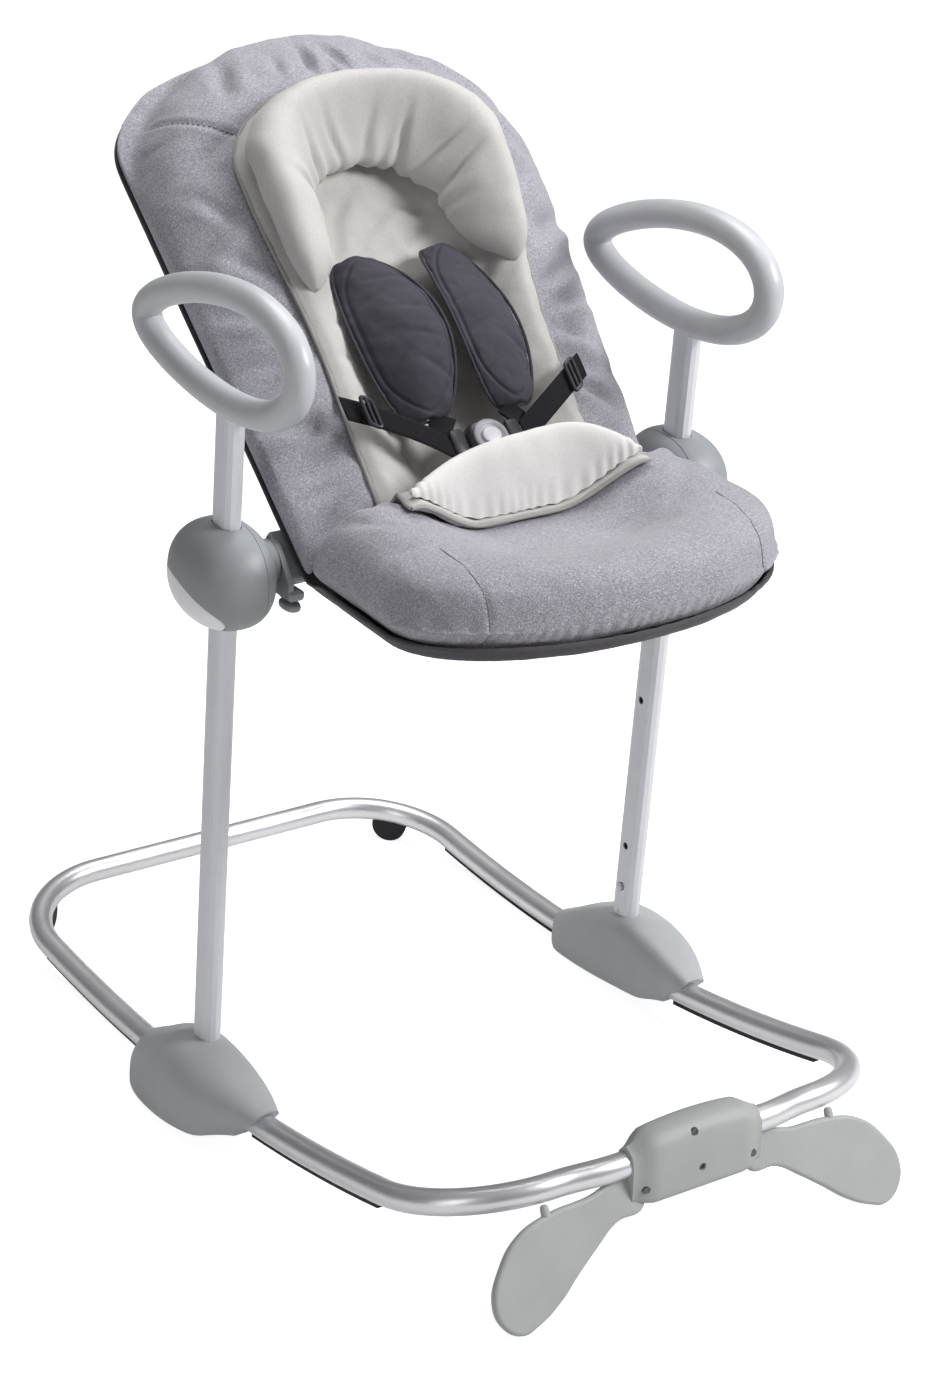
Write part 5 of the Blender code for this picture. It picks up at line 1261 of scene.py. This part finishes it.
def head_pillow():
    loops = []
    pairs = pillow_edges()
    last = len(pairs) - 1
    for k, (outer, inner) in enumerate(pairs):
        tail = min(k, last - k) / 15.0
        cap = sqrt(max(0.02, 1.0 - (1.0 - min(tail / 0.3, 1.0)) ** 2))
        rise = PILLOW_RISE * between(0.55, 1.0, ease(tail)) * cap
        mid = Vector(((outer[0] + inner[0]) / 2.0, (outer[1] + inner[1]) / 2.0))
        half = Vector(((outer[0] - inner[0]) / 2.0, (outer[1] - inner[1]) / 2.0)) * cap
        loop = []
        for a in angles(30):
            c = bent(cos(a), 0.8)
            px, ps = mid + half * c
            low = insert_face(px, ps) + 0.0008 - 0.0055 * max(0.0, c) ** 4
            up = sin(a)
            lift = 0.5 + 0.5 * bent(up, 0.9)
            loop.append(back_point(px, ps, low + (rise + PILLOW_LIFT * cap) * lift))
        loops.append(loop)
    obj = loft("head_pillow_cloth", loops)
    subdivided(obj)
    co = points_of(obj)
    x, s, _ = back_coords(co)
    turn = np.arctan2(s - PILLOW_IN_S, x)
    reach = np.hypot(x / PILLOW_IN_X, (s - PILLOW_IN_S) / PILLOW_IN_RISE)
    inner = np.exp(-((reach - 1.12) / 0.22) ** 2)
    inner *= np.clip((s - PILLOW_IN_S + 0.03) / 0.03, 0.0, 1.0)
    fan = np.sin(turn * 15.0 + 2.4 * np.sin(turn * 5.0 + 0.7))
    move = 0.0014 * fan * inner + 0.001 * ripple(x, s, 0.06, 3.0)
    for angle, depth in PILLOW_CREASES:
        fx = (PILLOW_IN_X + 0.017) * cos(angle)
        fs = PILLOW_IN_S + 0.074 * sin(angle)
        aim = angle + 0.35 * sin(7.0 * angle)
        move += crease(x, s, fx, fs, aim, (depth, 0.022, 0.0032), (0.45 * depth, 0.02, 0.005),
                       0.008)
    pushed(obj, co, move)
    finish_piece(obj, "seat", "pillow", "head_pillow")


def leg_roll():
    rows = []
    for j in range(25):
        t = j / 24
        t = between(t, 0.5 - 0.5 * cos(pi * t), 0.8)
        row = []
        for u in spread(60, 0.8):
            x = u * ROLL_HALF_W
            deep = 0.0015 + (ROLL_FRONT - ROLL_BACK) * sqrt(max(0.0, 1.0 - abs(u) ** 2.2))
            p = ROLL_FRONT - 0.006 * u * u - deep * (1.0 - t)
            low = pan_insert_face(x, p) + SOFT_GAP * 0.35
            tip = pan_insert_face(copysign(ROLL_HALF_W, x), p) + 0.003
            end, power = (1.0, 2.3) if u > ROLL_CREST_U else (-1.0, 1.7)
            run = (u - ROLL_CREST_U) / (end - ROLL_CREST_U)
            crest = between(ROLL_CREST_N, tip, run ** power)
            across = sqrt(max(0.0, 1.0 - (2.0 * t - 1.0) ** 2))
            high = low + 0.0015 + max(0.0, crest - low) * across ** 0.85
            row.append((pan_point(x, p + mitre(low) - ROLL_LEAN * (high - low), high),
                        pan_point(x, p + mitre(low), low)))
        rows.append(row)
    obj = slab("leg_roll_cloth", rows)
    subdivided(obj)
    co = points_of(obj)
    x, p, n = pan_coords(co)
    base = np.array([pan_top(a, 0.03) for a in x]) + INSERT_LIFT + INSERT_T
    low = np.exp(-((n - base - 0.006) / 0.012) ** 2)
    move = 0.0009 * np.sin(x * tau / GATHER + 2.6 * np.sin(x * 60.0)) * low
    move += 0.0007 * ripple(x, n, 0.07, 9.0)
    pushed(obj, co, move)
    finish_piece(obj, "seat", "roll", "leg_roll")


# Harness

def pad_line(t):
    s = between(PAD_LOW, PAD_TOP, t)
    return s, PAD_LIFT + 0.02 * sin(pi * t) + 0.016 * (1.0 - t)


def shoulder_pad(side, tag):
    loops = []
    count = 28
    edge_right = []
    edge_left = []
    for j in range(37):
        t = 0.5 - 0.5 * cos(pi * j / 36)
        s, n = pad_line(t)
        bow = sin(pi * t)
        outline = bow ** PAD_ROUND
        waist = 0.86 + 0.14 * cos(2.6 * (t - 0.35))
        width = PAD_REACH * between(0.28, 1.0, outline * waist)
        loop = []
        for a in angles(count):
            c = bent(cos(a), 0.8)
            up = bent(sin(a), 0.75)
            half = 0.5 * PAD_T * (0.42 + 0.58 * outline)
            x = side * (PAD_X - PAD_INWARD) + c * width
            roll = 0.0025 * cos(c * 3.0)
            tilted = n - side * c * 0.013 * bow ** 0.6 + 0.004 * bow
            loop.append(back_point(x, s, tilted + up * half * (1.0 - 0.5 * c ** 4) + roll))
        loops.append(loop)
        edge_right.append(loop[0])
        edge_left.append(loop[count // 2])
    obj = loft("shoulder_pad_cloth_" + tag, loops)
    inflated(obj, 0.002, 0.001)
    subdivided(obj)
    co = points_of(obj)
    x, s, n = back_coords(co)
    dx = (x - side * (PAD_X - PAD_INWARD)) * side
    t = np.clip((s - PAD_LOW) / (PAD_TOP - PAD_LOW), 0.001, 0.999)
    waist = 0.86 + 0.14 * np.cos(2.6 * (t - 0.35))
    share = np.hypot(dx / (PAD_REACH * (0.28 + 0.72 * np.sin(pi * t) ** PAD_ROUND * waist)),
                     np.maximum(np.abs(2.0 * t - 1.0) - 0.45, 0.0) / 0.6)
    border = 0.0018 * np.exp(-((share - 0.84) / 0.035) ** 2)
    move = -border + 0.001 * ripple(x, s, 0.05, 11.0 + side) + 0.0004 * ripple(x, s, 0.02, 12.0)
    for fx, fs, turn in ((-0.018, 0.15, 0.7), (-0.015, 0.185, 0.4), (-0.02, 0.215, 0.2),
                         (0.018, 0.165, -0.6), (0.016, 0.235, -0.4), (-0.01, 0.255, 0.1)):
        move -= 0.0018 * bump_at(dx, s, fx, fs, 0.02, 0.0032, turn)
    pushed(obj, co, move)
    finish_piece(obj, "seat", "pads", "shoulder_pad_" + tag)
    outline = edge_right + edge_left[::-1]
    welt = rope("shoulder_pad_welt_" + tag, outline + outline[:1], 0.0016, False, 2)
    finish_piece(welt, "seat", "pads")


def ribbon(name, line, width_axis, width=STRAP_W):
    """Webbing along a smooth line, with thin edges and UVs in metres."""
    points = rounded_line(line, 10)
    half = width_axis.normalized() * width / 2.0
    profile = []
    for k in range(9):
        c = -1.0 + k / 4.0
        profile.append((c, 0.5 * STRAP_T * sqrt(max(0.06, 1.0 - c ** 8))))
    outline = profile + [(c, -h) for c, h in profile[::-1]]
    bm = bmesh.new()
    layer = bm.loops.layers.uv.new("UVMap")
    loops = []
    runs = [0.0]
    last = len(points) - 1
    for k, place in enumerate(points):
        heading = (points[min(k + 1, last)] - points[max(k - 1, 0)]).normalized()
        normal = heading.cross(width_axis).normalized()
        loops.append([bm.verts.new(place + half * c + normal * h) for c, h in outline])
        if k:
            runs.append(runs[-1] + (place - points[k - 1]).length)
    count = len(outline)
    for j in range(last):
        for i in range(count):
            m = (i + 1) % count
            face = bm.faces.new((loops[j][i], loops[j][m], loops[j + 1][m], loops[j + 1][i]))
            across = [outline[a][0] * width / 2.0 for a in (i, m, m, i)]
            along = (runs[j], runs[j], runs[j + 1], runs[j + 1])
            for corner, u, v in zip(face.loops, across, along):
                corner[layer].uv = (u, v)
    bm.faces.new(loops[0])
    bm.faces.new(loops[-1])
    return from_bmesh(name, bm)


FACE_OUT = (back_point(0.0, 0.0, 1.0) - back_point(0.0, 0.0, 0.0)).normalized()
UP_BACK = (back_point(0.0, 1.0, 0.0) - back_point(0.0, 0.0, 0.0)).normalized()


def arc_line(start, end, sag, steps):
    return [start.lerp(end, k / steps) + FACE_OUT * sag * sin(pi * k / steps)
            for k in range(steps + 1)]


def buckle_place(x=0.0, s=0.0):
    return back_point(x, BUCKLE_AT + s, BUCKLE_LIFT)


def slider_frame(name, place, turn):
    """A two-bar slider: a rounded frame with a bar across its middle."""
    half_w = 0.008
    half_l = 0.0165
    bar = 0.002
    outline = [place + q for q in oval(half_w - bar, half_l - bar, 0.0, 32, turn, 0.35)]
    ends = [place + turn @ Vector((0.0, y, 0.0)) for y in (-half_l + bar, half_l - bar)]
    return joined(name, rope(name + "_frame", outline, bar, True, 2),
                  rope(name + "_bar", ends, bar * 0.9, False, 2), outward=True)


def waist_strap(side, tag):
    start_n = insert_face(WAIST_X, WAIST_S) + SOFT_GAP + 0.007
    start = back_point(side * WAIST_X, WAIST_S, start_n)
    end = buckle_place(side * (BUCKLE_W / 2.0 + 0.0182))
    strap = ribbon("waist_webbing_" + tag, arc_line(start, end, 0.006, 5), UP_BACK)
    finish_piece(strap, "seat", "web", "waist_strap_" + tag)
    heading = (end - start).normalized()
    out = heading.cross(UP_BACK).normalized()
    if out.dot(FACE_OUT) < 0.0:
        out = -out
    spot = start.lerp(end, 0.22) + out * (STRAP_T + 0.007)
    turn = axes(heading, UP_BACK, heading.cross(UP_BACK))
    slider = slider_frame("waist_slider_" + tag, spot, turn)
    finish_piece(slider, "seat", "buckle", "strap_slider_" + tag)


def shoulder_strap(side, tag):
    s, n = pad_line(0.0)
    start = back_point(side * (PAD_X - 0.002), s - 0.0015, n)
    end = buckle_place(side * 0.0305, 0.0165)
    across = (end - start).normalized().cross(FACE_OUT).normalized()
    strap = ribbon("shoulder_webbing_" + tag, arc_line(start, end, 0.0, 3), across, SHOULDER_W)
    finish_piece(strap, "seat", "web", "shoulder_strap_" + tag)


def crotch_strap():
    start = buckle_place(0.0, -BUCKLE_TALL / 2.0 - 0.002)
    low = pan_insert_face(0.0, 0.0)
    end = back_point(0.0, mitre(low) + 0.004, low + 0.006)
    strap = ribbon("crotch_webbing", arc_line(start, end, 0.0, 3), Vector((1.0, 0.0, 0.0)))
    finish_piece(strap, "seat", "web", "crotch_strap")


def tablet(name, place, turn, half_x, half_y, heights, power):
    """A flat rounded body: superellipse sections at (height, share of the outline)."""
    sections = []
    for z, share in heights:
        loop = oval(half_x * share, half_y * share, z, 48, turn, power)
        sections.append([place + q for q in loop])
    return loft(name, sections)


def buckle():
    turn = Matrix.Rotation(radians(45.0), 3, "X")
    half = BUCKLE_T / 2.0
    r = BUCKLE_BUTTON_R
    heights = [(-half, 0.8), (-half + 0.0015, 0.93), (-half + 0.004, 0.99), (0.0, 1.0),
               (half - 0.006, 0.985), (half - 0.003, 0.93), (half - 0.001, 0.84), (half, 0.74)]
    body = tablet("buckle_shell", buckle_place(), turn, BUCKLE_W / 2.0, BUCKLE_TALL / 2.0,
                  heights, 0.72)
    dial = tablet("buckle_dial", buckle_place(), turn, r + 0.0082, r + 0.0074,
                  [(half - 0.002, 1.0), (half + 0.0002, 1.0), (half + 0.0014, 0.95),
                   (half + 0.0016, 0.8), (half + 0.0006, 0.7), (half + 0.0002, 0.62)], 1.0)
    finish_piece(body, "seat", "buckle", "buckle_body")
    finish_piece(dial, "seat", "dial")
    cap = tablet("buckle_press", buckle_place(), turn, r, r * 0.84,
                 [(0.0035, 0.98), (half + 0.0009, 1.0), (half + 0.0022, 0.96),
                  (half + 0.0027, 0.86), (half + 0.0029, 0.5), (half + 0.003, 0.1)], 1.0)
    finish_piece(cap, "buckle_button", "button", "buckle_button")
    for side, tag in SIDES:
        place = buckle_place(side * (BUCKLE_W / 2.0 + 0.0085))
        tongue = tablet("tongue_shell_" + tag, place, turn, 0.0078, 0.016,
                        [(-0.003, 0.85), (-0.0018, 0.98), (0.0018, 0.98), (0.003, 0.85)], 0.45)
        finish_piece(tongue, "seat", "buckle", "buckle_tongue_" + tag)


# Camera, lights and floor

def set_camera():
    az = radians(-33.998)
    el = radians(23.599)
    roll = radians(1.422)
    back = Vector((sin(az) * cos(el), -cos(az) * cos(el), sin(el)))
    right = (-back).cross(Vector((0.0, 0.0, 1.0))).normalized()
    up = right.cross(-back)
    right, up = (cos(roll) * right + sin(roll) * up,
                 cos(roll) * up - sin(roll) * right)
    focal_pixels = 3274.84
    picture_tall = 1378.0
    data = bpy.data.cameras.new("camera")
    data.sensor_fit = "VERTICAL"
    data.sensor_height = 24.0
    data.lens = focal_pixels / picture_tall * data.sensor_height
    data.clip_start = 0.1
    data.clip_end = 60.0
    obj = new_object("camera", data)
    obj.matrix_world = axes(right, up, back).to_4x4()
    obj.location = (-1.60499, -2.45117 + SHIFT_Y, 1.6737)
    bpy.context.scene.camera = obj


def lamp(name, place, target, size_x, size_y, watts):
    data = bpy.data.lights.new(name, "AREA")
    data.shape = "RECTANGLE"
    data.size = size_x
    data.size_y = size_y
    data.energy = watts
    obj = new_object(name, data)
    obj.location = place
    obj.rotation_euler = (Vector(target) - Vector(place)).to_track_quat("-Z", "Y").to_euler()


def studio():
    scene = bpy.context.scene
    scene.view_settings.view_transform = "Standard"
    world = bpy.data.worlds.new("studio")
    world.use_nodes = True
    nodes = Nodes(world.node_tree)
    height = nodes.add("SeparateXYZ", Vector=nodes.add("TexCoord").outputs["Generated"])
    stops = ((0.0, 0.9), (0.5, 0.42), (0.62, 0.3), (0.85, 0.62), (1.0, 0.95))
    grey = nodes.colours(nodes.ranged(height.outputs["Z"], -1.0, 1.0),
                         [(at, (value, value, value * 1.02)) for at, value in stops])
    nodes.feed(nodes.tree.nodes["Background"], {"Color": grey, "Strength": 0.31})
    scene.world = world
    lamp("key", (2.0, -2.2, 2.6), (0.0, -0.1, 0.5), 1.3, 1.3, 122.0)
    lamp("fill", (-2.8, -1.2, 1.2), (0.0, 0.0, 0.4), 0.9, 2.0, 12.0)
    lamp("top", (0.5, 0.7, 2.9), (0.0, 0.0, 0.5), 1.4, 1.4, 42.0)
    mesh = bpy.data.meshes.new("floor")
    reach = 14.0
    mesh.from_pydata([(-reach, -reach, 0.0), (reach, -reach, 0.0), (reach, reach, 0.0),
                      (-reach, reach, 0.0)], [], [(0, 1, 2, 3)])
    shade = Shade("pale_floor")
    seen = shade.add("LightPath").outputs["Is Camera Ray"]
    shade.use(Base_Color=(0.55, 0.55, 0.55), Roughness=0.9, Emission_Color=(1.0, 1.0, 1.0),
              Emission_Strength=shade.ranged(seen, 0.0, 1.0, 0.2, 0.86))
    mesh.materials.append(shade.mat)
    floor = new_object("floor", mesh)


def main():
    dress_nodes()
    base_tubes()
    rings()
    hubs()
    pods()
    pedal()
    recline_caps()
    under_cover()
    back_cushion()
    leg_cushion()
    insert_pad()
    head_pillow()
    leg_roll()
    for side, tag in SIDES:
        shoulder_pad(side, tag)
        shoulder_strap(side, tag)
        waist_strap(side, tag)
    crotch_strap()
    buckle()
    set_camera()
    studio()


main()
